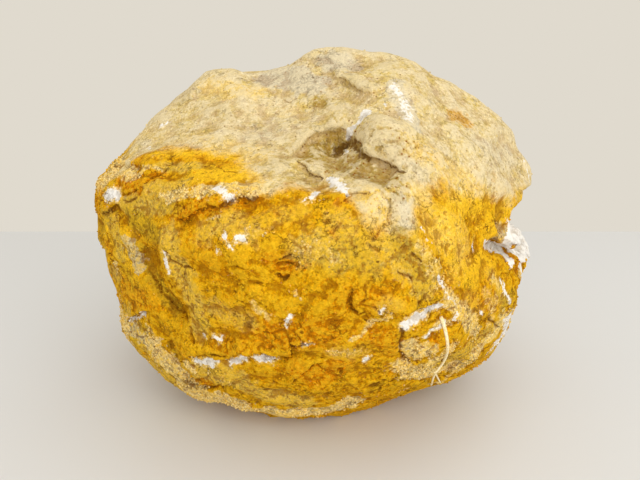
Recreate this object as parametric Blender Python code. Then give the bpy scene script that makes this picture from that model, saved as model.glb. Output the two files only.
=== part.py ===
"""A whole, uncut quartz geode: one rough boulder of stone, broken open only at a notch in its right side.

Units are metres, +Z is up, and the stone is seen from -Y in its main view. The stone is one solid. Its
big broken faces are laid out as corners in space, an icosphere is blown out onto them, and the sphere's
skin is then carved: hollows and knobs, ledges, cracks, pits and the notch above its quartz lip.
"""

import math

import bmesh
import bpy
import numpy as np
from mathutils import Euler, Vector, noise
from mathutils.bvhtree import BVHTree

MM = 0.001

OBJECT_NAME = "quartz_geode"
STONE_NAME = "geode"
STONE_COLOUR = (0.72, 0.50, 0.16, 1.0)
STONE_ROUGHNESS = 0.85

# The point that every outward ray starts from, near the middle of the stone.
HEART = np.array((0.0, 0.0, 100.0)) * MM

SKIN_SUBDIVISIONS = 7
EDGE_ROUNDING_PASSES = 6
DULLING_PASSES = 1
SOLID_TRIANGLES = 9400

# Corners of the stone's broken faces, in millimetres: x to the right, y to the back, z up.
CROWN = [
    (-72, 10, 188), (-61, 10, 198), (-47, 14, 199), (-33, 18, 193), (-11, 20, 200), (0, 16, 206),
    (22, 12, 209), (44, 8, 206), (69, 6, 196), (95, 8, 184), (117, 8, 166),
]
TOP_SLOPE = [
    (-42, -10, 185), (-14, -14, 182), (6, -22, 183), (27, -34, 187), (47, -32, 191), (68, -30, 177),
    (-57, -24, 170), (-25, -36, 168), (-2, -46, 165), (16, -56, 160), (34, -64, 173), (50, -58, 173),
    (66, -50, 165), (83, -46, 159), (-91, -32, 154), (-61, -52, 157), (-32, -62, 157), (-5, -68, 154),
    (19, -74, 153), (41, -80, 155), (58, -76, 150), (78, -62, 142), (101, -42, 139),
]
BROW = [
    (-103, -42, 140), (-75, -66, 142), (-47, -84, 141), (-21, -88, 145), (10, -90, 148), (34, -94, 147),
    (50, -90, 137),
]
FRONT_FACE = [
    (-112, -34, 117), (-98, -52, 115), (-84, -60, 115), (-70, -78, 121), (-36, -98, 125), (-4, -102, 126),
    (27, -106, 128), (55, -96, 124), (78, -74, 119), (96, -56, 105), (-98, -48, 85), (-75, -66, 85),
    (-55, -86, 93), (-22, -102, 100), (12, -108, 102), (41, -106, 101), (64, -92, 96), (88, -68, 90),
    (107, -48, 80),
]
LOWER_SHELF = [
    (-107, -32, 57), (-89, -50, 59), (-63, -74, 61), (-34, -92, 69), (-4, -100, 74), (24, -102, 80),
    (50, -98, 84), (76, -80, 75), (98, -54, 64), (-83, -50, 35), (-56, -72, 42), (-26, -82, 43),
    (5, -86, 42), (31, -84, 48), (57, -76, 49), (82, -60, 47),
]
LOWER_LIP = [
    (-97, -32, 23), (-77, -44, 14), (-55, -52, 16), (-34, -58, 13), (-11, -64, 11), (10, -64, 13),
    (28, -60, 16), (47, -54, 22), (66, -48, 19), (90, -36, 20), (112, -20, 28),
]
LEFT_SIDE = [
    (-114, -20, 34), (-119, -14, 58), (-117, -14, 72), (-127, -8, 79), (-126, -10, 101), (-129, -8, 124),
    (-127, -4, 136), (-118, 2, 145), (-99, 4, 163), (-89, 8, 172),
]
RIGHT_SIDE = [
    (127, 6, 150), (135, 4, 131), (130, -2, 122), (124, -10, 114), (129, 8, 102),
    (137, 8, 92), (134, 4, 78), (125, -4, 66), (124, -8, 41), (120, -28, 128), (118, -32, 76),
    (113, -36, 54),
]
BACK = [
    (-64, 45, 190), (-24, 56, 193), (16, 58, 199), (56, 50, 190), (90, 45, 168), (-94, 38, 164),
    (-86, 76, 150), (-40, 94, 164), (10, 98, 172), (56, 90, 164), (98, 66, 146),
    (-126, 18, 118), (-118, 46, 124), (-104, 74, 116), (-60, 104, 120), (-6, 112, 118), (50, 108, 126),
    (94, 84, 116), (118, 50, 120), (128, 24, 124),
    (-117, 32, 70), (-98, 70, 64), (-50, 100, 66), (6, 108, 60), (60, 100, 58), (102, 66, 66),
    (124, 30, 68), (122, 34, 100),
    (-96, 12, 24), (-76, 50, 16), (-24, 78, 12), (40, 76, 15), (86, 44, 18), (110, 8, 28),
]
FOOT = [
    (-44, -14, -6), (-30, -32, -6), (0, -36, -6), (30, -32, -6), (46, -6, -6), (42, 24, -6), (8, 40, -6),
    (-30, 32, -6), (-46, 10, -6), (0, 0, -6),
]
CORNERS = [
    np.array(corner) * MM
    for group in (
        CROWN, TOP_SLOPE, BROW, FRONT_FACE, LOWER_SHELF, LOWER_LIP, LEFT_SIDE, RIGHT_SIDE, BACK, FOOT,
    )
    for corner in group
]

# Hollows and knobs: where, how far across, how high (a hollow is below zero). Millimetres.
MOUNDS = [
    ((-22, -40, 172), 30, -4.0),     # bowl in the top slope
    ((14, -52, 162), 9, -7.0),       # pit at the foot of the knob
    ((33, -64, 170), 15, 4.5),       # knob on the top slope
    ((34, -80, 153), 11, -3.0),      # hollow under the knob
    ((-122, -28, 126), 16, 2.5),     # left lobe, upper
    ((-112, -42, 98), 14, 2.5),      # left lobe, lower
    ((-100, -40, 44), 15, 3.0),      # left foot lobe
    ((104, -46, 80), 16, 3.0),       # bulge under the notch
    ((88, -62, 122), 18, -2.0),      # dip right of the long ridge
    ((62, -84, 70), 14, 3.0),        # flap at the lower right
    ((-64, 84, 90), 30, -5.0),       # back, left dish
    ((66, 84, 84), 26, -4.0),        # back, right dish
    ((4, 96, 140), 22, 4.0),         # back, upper knob
    ((110, 50, 130), 20, 3.5),       # back, right shoulder
    ((-104, 58, 60), 22, -4.0),      # back, left waist
    ((-6, 36, 204), 18, -3.0),       # dish behind the crown
]

# Ledges: route along the edge, rise of the side above it, how far the rise fades. Millimetres.
LEDGES = [
    ([(-5, -62, 156), (0, -68, 152), (6, -75, 151), (14, -86, 148)], 3.5, 15),
    ([(-65, -76, 131), (-51, -84, 136), (-35, -84, 142), (-22, -86, 144), (0, -89, 148)], 3.5, 14),
    ([(16, -90, 145), (25, -90, 148), (38, -92, 147)], 2.5, 9),
    ([(-68, -72, 54), (-49, -80, 57), (-20, -94, 66), (-5, -98, 71), (4, -101, 77)], 5.0, 15),
    ([(-68, -58, 27), (-41, -74, 38), (-13, -80, 41), (4, -92, 58)], 3.0, 10),
    ([(19, -108, 103), (20, -106, 95), (30, -106, 91), (46, -101, 89), (63, -90, 92)], 4.5, 14),
    ([(5, -10, 198), (15, -18, 193), (27, -34, 188), (38, -40, 185)], 3.5, 13),
    ([(-126, -16, 114), (-115, -32, 118), (-102, -46, 124), (-90, -58, 130)], 3.0, 11),
    ([(-122, 0, 82), (-120, -22, 82), (-108, -38, 86)], 3.5, 10),
    ([(-112, -28, 53), (-92, -50, 64)], 3.0, 9),
    ([(-96, 62, 84), (-60, 90, 92), (-20, 100, 84), (18, 98, 96)], 4.5, 17),
    ([(40, 94, 52), (76, 80, 60), (108, 50, 56)], 4.0, 15),
    ([(30, 92, 150), (62, 76, 146), (96, 54, 146)], 4.0, 15),
    ([(-90, 56, 150), (-60, 72, 146), (-30, 88, 150)], 3.5, 13),
]
LEDGE_SOFTNESS = 2.2 * MM

# Cracks and creases: route, width, depth. Millimetres.
CRACKS = [
    ([(22, -54, 168), (26, -65, 163), (30, -72, 157), (38, -78, 156), (46, -79, 154)], 3.2, 4.0),
    ([(-86, -60, 114), (-81, -66, 98), (-74, -69, 83), (-64, -76, 74)], 7.5, 7.0),
    ([(-84, -56, 68), (-78, -60, 55), (-73, -62, 44), (-66, -60, 30)], 5.0, 4.5),
    ([(-49, -79, 55), (-20, -93, 64), (-5, -98, 69)], 3.0, 3.5),
    ([(20, -106, 95), (32, -106, 90), (46, -100, 88)], 3.0, 3.5),
    ([(-127, -16, 113), (-112, -34, 117)], 3.5, 3.0),
    ([(-60, -80, 112), (-30, -99, 106), (-6, -104, 112)], 5.0, 1.2),
    ([(-40, 94, 140), (-10, 100, 120), (6, 104, 96)], 4.0, 4.0),
    ([(86, 72, 96), (70, 86, 76), (60, 88, 40)], 4.0, 4.0),
    ([(-110, 44, 130), (-114, 40, 96), (-104, 50, 70)], 5.0, 5.0),
    ([(-20, 30, 194), (10, 38, 198), (44, 34, 190)], 4.0, 3.0),
]

# Bites out of the right side, where the shell is broken: centre, half-lengths (into the stone, along its
# side, up) in millimetres, and tilt and turn of the long axis in degrees.
BITES = [
    ((136, 6, 113), (27, 54, 12), (-17, -16)),     # the notch seen in outline
    ((109, -40, 107), (11, 26, 8), (-6, -36)),     # the pocket in front of it
    ((129, -10, 100), (11, 24, 12), (-6, -28)),    # the bared lip under the notch
]
BITE_ROUGHNESS = (3.0 * MM, 8 * MM)

# How far ledges and cracks sway from their routes, over what spacing, and where they start to die out.
SWAY = 4.5 * MM
SWAY_SPACING = 13 * MM
ROUTE_TAPER = 9 * MM

# Relief all over: spacing and height of each size of lump.
BOULDER_LUMPS = (42 * MM, 2.0 * MM)
CHIPS = (22 * MM, 3.6 * MM)
CRUMBS = (9 * MM, 1.1 * MM)


def broken_faces():
    """The stone as flat faces between its corners, as a tree that rays can be cast at.

    The corners are joined where they lie next to each other as seen from the heart: their directions
    are put on a ball, the ball's convex hull joins them, and each then goes out to its own place.
    """
    faceted = bmesh.new()
    homes = {}
    for corner in CORNERS:
        outward = Vector(corner - HEART).normalized()
        homes[faceted.verts.new(outward)] = corner
    bmesh.ops.convex_hull(faceted, input=faceted.verts)
    for vertex, corner in homes.items():
        vertex.co = corner
    bmesh.ops.recalc_face_normals(faceted, faces=faceted.faces)
    tree = BVHTree.FromBMesh(faceted)
    faceted.free()
    return tree


def smooth_skin(skin, passes):
    for _ in range(passes):
        bmesh.ops.smooth_vert(
            skin, verts=skin.verts, factor=0.5, use_axis_x=True, use_axis_y=True, use_axis_z=True
        )


def blown_skin():
    """A mesh whose every point is blown from the heart onto the broken faces, with the edges worn round."""
    faces = broken_faces()
    skin = bmesh.new()
    bmesh.ops.create_icosphere(skin, subdivisions=SKIN_SUBDIVISIONS, radius=1.0)
    for vertex in skin.verts:
        vertex.co = faces.ray_cast(HEART, vertex.co.normalized())[0]
    smooth_skin(skin, EDGE_ROUNDING_PASSES)
    mesh = bpy.data.meshes.new(STONE_NAME)
    skin.to_mesh(mesh)
    skin.free()
    return mesh


def places_and_normals(mesh):
    places = np.empty(len(mesh.vertices) * 3, np.float32)
    mesh.vertices.foreach_get("co", places)
    normals = np.empty(len(mesh.vertices) * 3, np.float32)
    mesh.vertex_normals.foreach_get("vector", normals)
    return places.reshape(-1, 3).astype(float), normals.reshape(-1, 3).astype(float)


def raise_skin(mesh, height_of):
    """Moves each point along its normal by the height that height_of gives for the places and normals."""
    places, normals = places_and_normals(mesh)
    places += normals * height_of(places, normals)[:, None]
    mesh.vertices.foreach_set("co", places.astype(np.float32).ravel())
    mesh.update()


def fade(share):
    """1 where share is 0, falling smoothly to 0 where it is 1 or more."""
    left = np.clip(1.0 - share, 0.0, 1.0)
    return left * left * (3.0 - 2.0 * left)


def drift(point):
    """A vector that turns smoothly from point to point, with three readings of noise from far apart."""
    return Vector([noise.noise(point + Vector((far, 0.0, 0.0))) for far in (0.0, 31.7, 73.1)])


def wandering(places):
    """The places, swayed a little to and fro, so that what follows a route wanders as broken stone does."""
    return places + np.array([drift(Vector(place) / SWAY_SPACING) for place in places]) * SWAY


def along_route(places, normals, route):
    """For each place: its distance to the route, its height above it along the skin, and a taper.

    The taper is 1 along the route and falls to 0 at both its ends.
    """
    corners = np.array(route) * MM
    lengths = np.linalg.norm(np.diff(corners, axis=0), axis=1)
    nearest = np.full(len(places), np.inf)
    above = np.zeros(len(places))
    reached = np.zeros(len(places))
    for start, end, length, before in zip(corners, corners[1:], lengths, np.cumsum(lengths) - lengths):
        run = (end - start) / length
        travel = np.clip((places - start) @ run, 0.0, length)
        offset = places - start - travel[:, None] * run
        distance = np.linalg.norm(offset, axis=1)
        upward = np.cross(normals, run)
        upward *= np.where(upward[:, 2:] < 0.0, -1.0, 1.0)
        closer = distance < nearest
        nearest = np.where(closer, distance, nearest)
        above = np.where(closer, (offset * upward).sum(axis=1), above)
        reached = np.where(closer, before + travel, reached)
    to_end = np.minimum(reached, lengths.sum() - reached)
    return nearest, above, 1.0 - fade(to_end / ROUTE_TAPER)


def mounds(places, normals):
    height = np.zeros(len(places))
    for centre, reach, rise in MOUNDS:
        distance = np.linalg.norm(places - np.array(centre) * MM, axis=1)
        height += rise * MM * fade(distance / (1.5 * reach * MM))
    return height


def ledges(places, normals):
    """Each ledge lifts what is above its route and sinks what is below, so that it throws a shadow line."""
    height = np.zeros(len(places))
    swayed = wandering(places)
    for route, rise, reach in LEDGES:
        distance, above, taper = along_route(swayed, normals, route)
        step = np.tanh(above / LEDGE_SOFTNESS)
        height += 0.5 * rise * MM * step * taper * fade(distance / (reach * MM))
    return height


def cracks(places, normals):
    height = np.zeros(len(places))
    swayed = wandering(places)
    for route, width, depth in CRACKS:
        distance, _, taper = along_route(swayed, normals, route)
        height -= depth * MM * taper * np.exp(-((distance / (width * MM)) ** 2))
    return height


def relief(places, normals):
    """Rolling lumps, chipped dishes that meet in sharp edges, and crumbs."""
    height = np.empty(len(places))
    lump_spacing, lump_height = BOULDER_LUMPS
    chip_spacing, chip_height = CHIPS
    crumb_spacing, crumb_height = CRUMBS
    for index, place in enumerate(places):
        point = Vector(place)
        lump = noise.fractal(point / lump_spacing, 0.9, 2.1, 3)
        sway = drift(point / chip_spacing) * 0.45
        flattened = Vector((point.x, point.y, 1.5 * point.z)) / chip_spacing
        chip = noise.voronoi(flattened + sway)[0][0]
        crumb = noise.fractal(point / crumb_spacing, 0.8, 2.2, 3)
        height[index] = lump * lump_height + (chip * chip - 0.3) * chip_height + crumb * crumb_height
    return height


def bite(mesh):
    """Cuts each bite by drawing every point inside it back towards the heart, to the bite's far wall."""
    places, _ = places_and_normals(mesh)
    height_of_roughness, spacing = BITE_ROUGHNESS
    for centre, half_lengths, (tilt, turn) in BITES:
        middle = np.array(centre) * MM
        axes = np.array(Euler((math.radians(tilt), 0.0, math.radians(turn))).to_matrix())
        wobble = height_of_roughness * np.array([noise.noise(Vector(place) / spacing) for place in places])
        radii = np.array(half_lengths) * MM + wobble[:, None]
        offset = (places - middle) @ axes / radii
        inward = HEART - places
        step = inward @ axes / radii
        square = (step * step).sum(axis=1)
        half = (offset * step).sum(axis=1)
        rest = (offset * offset).sum(axis=1) - 1.0
        inside = rest < 0.0
        travel = (-half + np.sqrt(np.maximum(half * half - square * rest, 0.0))) / square
        places += np.where(inside, travel, 0.0)[:, None] * inward
    mesh.vertices.foreach_set("co", places.astype(np.float32).ravel())
    mesh.update()


def dull_edges(mesh):
    """Takes the knife edge off the carving."""
    skin = bmesh.new()
    skin.from_mesh(mesh)
    smooth_skin(skin, DULLING_PASSES)
    skin.to_mesh(mesh)
    skin.free()


def evaluated_copy(stone):
    graph = bpy.context.evaluated_depsgraph_get()
    return bpy.data.meshes.new_from_object(stone.evaluated_get(graph))


def thin_out(stone):
    """Leaves the skin only as many triangles as the solid needs, most of them where it bends."""
    thinning = stone.modifiers.new("thin_out", "DECIMATE")
    thinning.ratio = SOLID_TRIANGLES / len(stone.data.polygons)
    stone.data = evaluated_copy(stone)
    stone.modifiers.remove(thinning)


def cut_foot(stone):
    """Cuts the flat that the stone rests on, and puts the origin at the middle of its box, on that flat."""
    body = bmesh.new()
    body.from_mesh(stone.data)
    everything = body.verts[:] + body.edges[:] + body.faces[:]
    cut = bmesh.ops.bisect_plane(
        body, geom=everything, dist=1e-6, plane_co=(0, 0, 0), plane_no=(0, 0, -1), clear_outer=True
    )
    rim = [item for item in cut["geom_cut"] if isinstance(item, bmesh.types.BMEdge)]
    bmesh.ops.holes_fill(body, edges=rim, sides=0)
    low = Vector((min(vertex.co[axis] for vertex in body.verts) for axis in range(3)))
    high = Vector((max(vertex.co[axis] for vertex in body.verts) for axis in range(3)))
    middle = (low + high) / 2
    bmesh.ops.translate(body, verts=body.verts, vec=(-middle.x, -middle.y, -low.z))
    body.to_mesh(stone.data)
    body.free()
    print("stone box mm:", [round(side / MM, 1) for side in high - low], "shift mm:", middle / MM)


def stone_material():
    material = bpy.data.materials.new(STONE_NAME)
    material.use_nodes = True
    finish = material.node_tree.nodes["Principled BSDF"]
    finish.inputs["Base Color"].default_value = STONE_COLOUR
    finish.inputs["Roughness"].default_value = STONE_ROUGHNESS
    return material


def make_stone(collection):
    mesh = blown_skin()
    for carving in (mounds, ledges, cracks, relief):
        raise_skin(mesh, carving)
    bite(mesh)
    dull_edges(mesh)
    stone = bpy.data.objects.new(STONE_NAME, mesh)
    collection.objects.link(stone)
    thin_out(stone)
    cut_foot(stone)
    stone.data.materials.append(stone_material())


for leftover in list(bpy.data.objects):
    bpy.data.objects.remove(leftover)
home = bpy.data.collections.new(OBJECT_NAME)
bpy.context.scene.collection.children.link(home)
make_stone(home)
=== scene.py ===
# %% [markdown]
# # A whole quartz geode
#
# The real object is one uncut boulder, about 265 mm wide. A crust of iron-stained limestone hides the quartz,
# which shows only where the crust is knocked off: in a notch on the right, and in small white scars. The
# solid model gives the boulder its size and its main forms. This script makes the skin that is seen: the
# same form with finer ledges, cracks, pits and grit, then its colours, then a dried rootlet that clings to
# it.

# %% Load the solid
import math
import random

import bmesh
import bpy
import numpy as np
from mathutils import Matrix, Vector, noise
from mathutils.bvhtree import BVHTree


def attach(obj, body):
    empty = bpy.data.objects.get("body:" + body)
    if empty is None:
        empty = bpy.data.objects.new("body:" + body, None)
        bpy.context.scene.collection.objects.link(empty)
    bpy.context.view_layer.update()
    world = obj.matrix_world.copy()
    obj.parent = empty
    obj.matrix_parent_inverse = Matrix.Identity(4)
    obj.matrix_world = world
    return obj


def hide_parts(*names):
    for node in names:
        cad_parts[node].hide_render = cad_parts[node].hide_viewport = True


MM = 0.001

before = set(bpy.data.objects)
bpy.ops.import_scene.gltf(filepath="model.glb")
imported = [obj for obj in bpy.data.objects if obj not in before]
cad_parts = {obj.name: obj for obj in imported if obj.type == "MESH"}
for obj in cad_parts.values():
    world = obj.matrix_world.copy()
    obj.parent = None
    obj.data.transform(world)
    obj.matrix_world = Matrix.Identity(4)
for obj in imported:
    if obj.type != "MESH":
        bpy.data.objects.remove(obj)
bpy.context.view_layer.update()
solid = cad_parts["geode"]

# %% [markdown]
# ## The view
#
# The photograph looks down on the stone from a little above, from close by. The camera comes first here,
# because many marks on the stone are placed by where the photograph shows them.

# %% Camera
PHOTO_WIDTH, PHOTO_HEIGHT = 640, 480
LENS_MM = 36.0
SENSOR_MM = 36.0
LOOK_DOWN = math.radians(18)
LOOK_AT = Vector((1.0, -4.7, 96.0)) * MM
LOOK_FROM = 390 * MM

toward_camera = Vector((0, -math.cos(LOOK_DOWN), math.sin(LOOK_DOWN)))
lens = bpy.data.cameras.new("view")
lens.lens, lens.sensor_width = LENS_MM, SENSOR_MM
camera = bpy.data.objects.new("view", lens)
camera.location = LOOK_AT + toward_camera * LOOK_FROM
camera.rotation_euler = (math.pi / 2 - LOOK_DOWN, 0, 0)
bpy.context.scene.collection.objects.link(camera)
bpy.context.scene.camera = camera
print("camera, mm:", [round(value / MM) for value in camera.location])

# %% [markdown]
# ## Finding a mark's place
#
# A mark is named with the pixels where the photograph shows it. A ray from the camera through each pixel
# lands on the stone, as far as it has been carved by then, so every mark sits on the rock, whichever side
# it is then seen from. Marks on the sides that the photograph doesn't show are placed by a compass angle
# and a height instead.

# %% Rays onto the stone
FOCAL_PIXELS = PHOTO_WIDTH * LENS_MM / SENSOR_MM
HEART = Vector((0, 0, 100)) * MM
FAR = 500 * MM
SAME_POINT = 0.001 * MM


def merged_copy(thing, name):
    """A copy of a CAD node's loose triangles, joined into one closed skin."""
    shape = bmesh.new()
    shape.from_mesh(thing.data)
    bmesh.ops.remove_doubles(shape, verts=shape.verts, dist=SAME_POINT)
    mesh = bpy.data.meshes.new(name)
    shape.to_mesh(mesh)
    shape.free()
    copy = bpy.data.objects.new(name, mesh)
    bpy.context.scene.collection.objects.link(copy)
    return copy


def tree_of(thing):
    """A search tree of an object's mesh."""
    shape = bmesh.new()
    shape.from_mesh(thing.data)
    tree = BVHTree.FromBMesh(shape)
    shape.free()
    return tree


skin = merged_copy(solid, "geode_rind")
stone_tree = tree_of(skin)
camera_turn = Matrix.Rotation(math.pi / 2 - LOOK_DOWN, 3, "X")


def sight(pixel):
    """The direction in which the camera sees a pixel."""
    across, down = pixel
    ray = Vector((across - PHOTO_WIDTH / 2, PHOTO_HEIGHT / 2 - down, -FOCAL_PIXELS))
    return (camera_turn @ ray).normalized()


def seen_at(pixel):
    """Where the ray through a pixel meets the stone, or passes closest to it."""
    ray = sight(pixel)
    place, *_ = stone_tree.ray_cast(camera.location, ray)
    if place is None:
        beside = camera.location + ray * (HEART - camera.location).dot(ray)
        place, *_ = stone_tree.find_nearest(beside)
    return place


def round_at(mark):
    """Where a level ray toward the middle meets the stone: a compass angle in degrees, and a height in mm."""
    angle, height = math.radians(mark[0]), mark[1] * MM
    outward = Vector((math.sin(angle), -math.cos(angle), 0))
    place, *_ = stone_tree.ray_cast(outward * FAR + Vector((0, 0, height)), -outward)
    return place


print("knob, mm:", [round(value / MM) for value in seen_at((385, 143))])

# %% [markdown]
# ## A fine skin
#
# The solid has about 9,000 flat faces, each some 6 mm across: enough for the form, far too few for a rock's
# texture. Subdividing rounds the faces, and a voxel remesh then lays an even net over them, so that every
# patch of the stone can be carved equally fine.

# %% Round the facets and remesh
NET_QUICK, NET_FINE = 1.8 * MM, 0.92 * MM
ROUNDING_LEVELS = 2
EASING, EASING_PASSES = 0.5, 4


def apply_modifiers(thing):
    """Bakes an object's modifiers into its mesh."""
    shaped = bpy.data.meshes.new_from_object(
        thing.evaluated_get(bpy.context.evaluated_depsgraph_get())
    )
    shaped.name = thing.name
    thing.modifiers.clear()
    thing.data = shaped


rounding = skin.modifiers.new("rounding", "SUBSURF")
rounding.levels = rounding.render_levels = ROUNDING_LEVELS
net = skin.modifiers.new("net", "REMESH")
net.mode = "VOXEL"
net.voxel_size = NET_FINE
easing = skin.modifiers.new("easing", "SMOOTH")
easing.factor, easing.iterations = EASING, EASING_PASSES
apply_modifiers(skin)
print("net:", len(skin.data.vertices), "points")

# %% [markdown]
# ## Carving tools
#
# A sculptor would use a few brushes. Here each brush is a small function on all the points at once: how far
# is a point from a route, on which side of it, and how much should it move. `Carver` keeps the points and
# their outward directions, adds up the strokes, and moves the skin when it is told to.


# %% Points, outward directions, and noise over them
FLAT_EDGE = 0.14
FLAT_STEP = 0.25
BEND_SIZE, BEND = 2.1, 0.16


def own_tilt(cell):
    """A direction that differs from cell to cell, but is always the same for one cell."""
    return Vector(
        (
            math.sin(cell.x * 127.1 + cell.y * 311.7),
            math.sin(cell.y * 269.5 + cell.z * 183.3),
            math.sin(cell.z * 419.2 + cell.x * 371.9),
        )
    )


def flat_height(at, cell):
    """How high a cell's own flat lies at a place."""
    tilt = own_tilt(cell)
    return (at - cell).dot(tilt) + tilt.z * FLAT_STEP


class Carver:
    """The skin's points, and the strokes that wait to be applied to them."""

    def __init__(self, mesh):
        self.mesh = mesh
        self.read()

    def read(self):
        """Takes the points from the mesh, with no strokes on them yet."""
        count = len(self.mesh.vertices)
        flat = np.empty(count * 3, np.float32)
        self.mesh.vertices.foreach_get("co", flat)
        self.at = flat.reshape(-1, 3).astype(float)
        self.mesh.vertex_normals.foreach_get("vector", flat)
        self.out = flat.reshape(-1, 3).astype(float)
        self.lift = np.zeros(count)
        self.drag = np.zeros((count, 3))
        self.vectors = [Vector(place) for place in self.at]

    def apply(self):
        """Moves the mesh by the strokes that wait."""
        moved = self.at + self.out * self.lift[:, None] + self.drag
        self.mesh.vertices.foreach_set("co", moved.astype(np.float32).ravel())
        self.mesh.update()
        self.read()

    def rough(self, size, octaves=1, seed=0.0):
        """Noise of a size in mm at every point, about -1 to 1, with finer octaves added."""
        shift = Vector((seed, seed * 1.7, -seed))
        per = 1 / (size * MM)
        if octaves == 1:
            return np.array([noise.noise(place * per + shift) for place in self.vectors])
        return np.array(
            [noise.fractal(place * per + shift, 1.0, 2.0, octaves) for place in self.vectors]
        )

    def flats(self, size, seed=0.0):
        """Broken flats of a size in mm: each Voronoi cell is a plane with a tilt and a level of its own.

        Also gives how far each point is from the nearest border between two flats, in cells.
        """
        shift = Vector((seed, -seed, seed * 1.3))
        per = 1 / (size * MM)
        heights, borders = np.empty(len(self.vectors)), np.empty(len(self.vectors))
        for number, place in enumerate(self.vectors):
            at = place * per + shift
            bend = noise.noise(at * BEND_SIZE)
            at += Vector((bend, -bend, bend)) * BEND
            distances, cells = noise.voronoi(at)
            gap = distances[1] - distances[0]
            share = 0.5 + 0.5 * min(gap / FLAT_EDGE, 1.0)
            own, beside = flat_height(at, cells[0]), flat_height(at, cells[1])
            heights[number] = own * share + beside * (1 - share)
            borders[number] = gap
        return heights, borders


carver = Carver(skin.data)
print("points ready:", len(carver.at))


# %% [markdown]
# ### Routes
#
# A crack is a line that wanders over the rock. It could be drawn as a curve by hand. Here a few marks are
# joined in short steps, and each step strays a little and lands back on the stone, because a real break
# never runs straight, and a table of marks is easy to correct.

# %% Routes over the stone
ROUTE_STEP = 1.5 * MM
ROUTE_SWAY = 1.3 * MM
ROUTE_SWAY_SIZE = 4.0 * MM
ROUTE_SWAY_SHIFT = (9.1, 3.7, 1.3)
ROUTE_JUMP = 44 * MM
FRONTWARD = Vector((0, -1, 0))


def wandering(places):
    """A route through the places, in short steps that stray a little, as a break in rock does."""
    path = []
    for start, end in zip(places, places[1:]):
        steps = max(1, round((end - start).length / ROUTE_STEP))
        path += [start.lerp(end, step / steps) for step in range(steps)]
    path.append(places[-1])
    per = 1 / ROUTE_SWAY_SIZE
    first, second, third = ROUTE_SWAY_SHIFT
    swayed = []
    for place in path:
        sway = [noise.noise(place * per + Vector((first * axis, second, third))) for axis in (1, 2, 3)]
        swayed.append(place + Vector(sway) * ROUTE_SWAY)
    on_stone = [stone_tree.find_nearest(place) for place in swayed]
    return [(place, facing) for place, facing, _, _ in on_stone]


def seen_route(pixels):
    """A route named by pixels, cut short where it would leap over an edge of the stone."""
    places = [seen_at(pixel) for pixel in pixels]
    kept = [places[0]]
    for place in places[1:]:
        if (place - kept[-1]).length < ROUTE_JUMP:
            kept.append(place)
    return wandering(kept) if len(kept) > 1 else [(kept[0], FRONTWARD)]


def round_route(marks):
    """A route on a hidden side, named by compass angles and heights."""
    return wandering([round_at(mark) for mark in marks])


DEPTH_FREE = 3.5 * MM
DEPTH_COST = 4
BEYOND, NO_LENGTH = 1e9, 1e-12


def along(points, route, reach):
    """The points within reach of a route: their numbers, distances, height above it and place along it.

    Depth below or above the route hardly counts, because the skin has been carved since the route was laid.
    """
    path = np.array([place for place, _ in route])
    low, high = path.min(0) - reach - DEPTH_FREE, path.max(0) + reach + DEPTH_FREE
    near = np.nonzero(np.all((points > low) & (points < high), axis=1))[0]
    inside = points[near]
    best = np.full(len(near), BEYOND)
    above = np.zeros(len(near))
    part = np.zeros(len(near))
    spans = max(1, len(path) - 1)
    for number in range(spans):
        start = path[number]
        end = path[min(number + 1, len(path) - 1)]
        line = end - start
        length = max(float(line @ line), NO_LENGTH)
        share = np.clip((inside - start) @ line / length, 0, 1)
        away = inside - (start + share[:, None] * line)
        deep = away @ np.array(route[number][1])
        sideways = np.maximum((away**2).sum(axis=1) - deep**2, 0)
        too_deep = np.clip(np.abs(deep) - DEPTH_FREE, 0, None)
        distance = np.sqrt(sideways + (DEPTH_COST * too_deep) ** 2)
        closer = distance < best
        upward = np.cross(np.array(route[number][1]), line / math.sqrt(length))
        best = np.where(closer, distance, best)
        above = np.where(closer, away @ upward, above)
        part = np.where(closer, (number + share) / spans, part)
    close = best < reach
    return near[close], best[close], above[close], part[close]


DAB_REACH, DAB_FULL = 1.5, 1.35


def laid(work, route, radius, stretch=None):
    """The points that a dab reaches, and how strongly: full at the route, fading out at the radius, in mm.

    A stretch for each point makes the dab's edge ragged.
    """
    near, distance, _, _ = along(work.at, route, radius * DAB_REACH * MM)
    if stretch is not None:
        distance = distance * stretch[near]
    return near, smooth_step(DAB_FULL * (1 - distance / (radius * MM)))


def smooth_step(value):
    """0 below 0, 1 above 1, and an S curve between them."""
    value = np.clip(value, 0, 1)
    return value * value * (3 - 2 * value)


TAPER = 0.16


def tapered(part):
    """1 along a route, falling to 0 at its two ends."""
    return smooth_step(np.minimum(part, 1 - part) / TAPER)


print("a route's steps, mm:", ROUTE_STEP / MM, "and how far it strays, mm:", ROUTE_SWAY / MM)

# %% [markdown]
# ### Brushes
#
# A ledge is a step, a crack a sharp groove, a valley a round one, and a knob a mound. Each could be cut with
# a boolean, which leaves clean edges that a rock doesn't have. A brush moves the points by a smooth shape
# instead, and dies out at the ends of its route.

# %% Brushes
LEDGE_SHARPNESS, LEDGE_REACH = 0.9 * MM, 2.6
GROOVE_SHARPNESS = 1.4


def carve_ledge(carver, route, rise, fade):
    """A step: the rock above the route stands out and the rock below it falls back."""
    near, distance, above, part = along(carver.at, route, fade * LEDGE_REACH * MM)
    step = np.tanh(above / LEDGE_SHARPNESS) * np.exp(-((distance / (fade * MM)) ** 2))
    carver.lift[near] += rise * MM / 2 * step * tapered(part)


def carve_groove(carver, route, width, depth):
    """A crack, sharp at its bottom."""
    near, distance, _, part = along(carver.at, route, width * MM)
    shape = (1 - distance / (width * MM)) ** GROOVE_SHARPNESS
    ends = tapered(part) if len(route) > 2 else 1
    carver.lift[near] -= depth * MM * shape * ends


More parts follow.
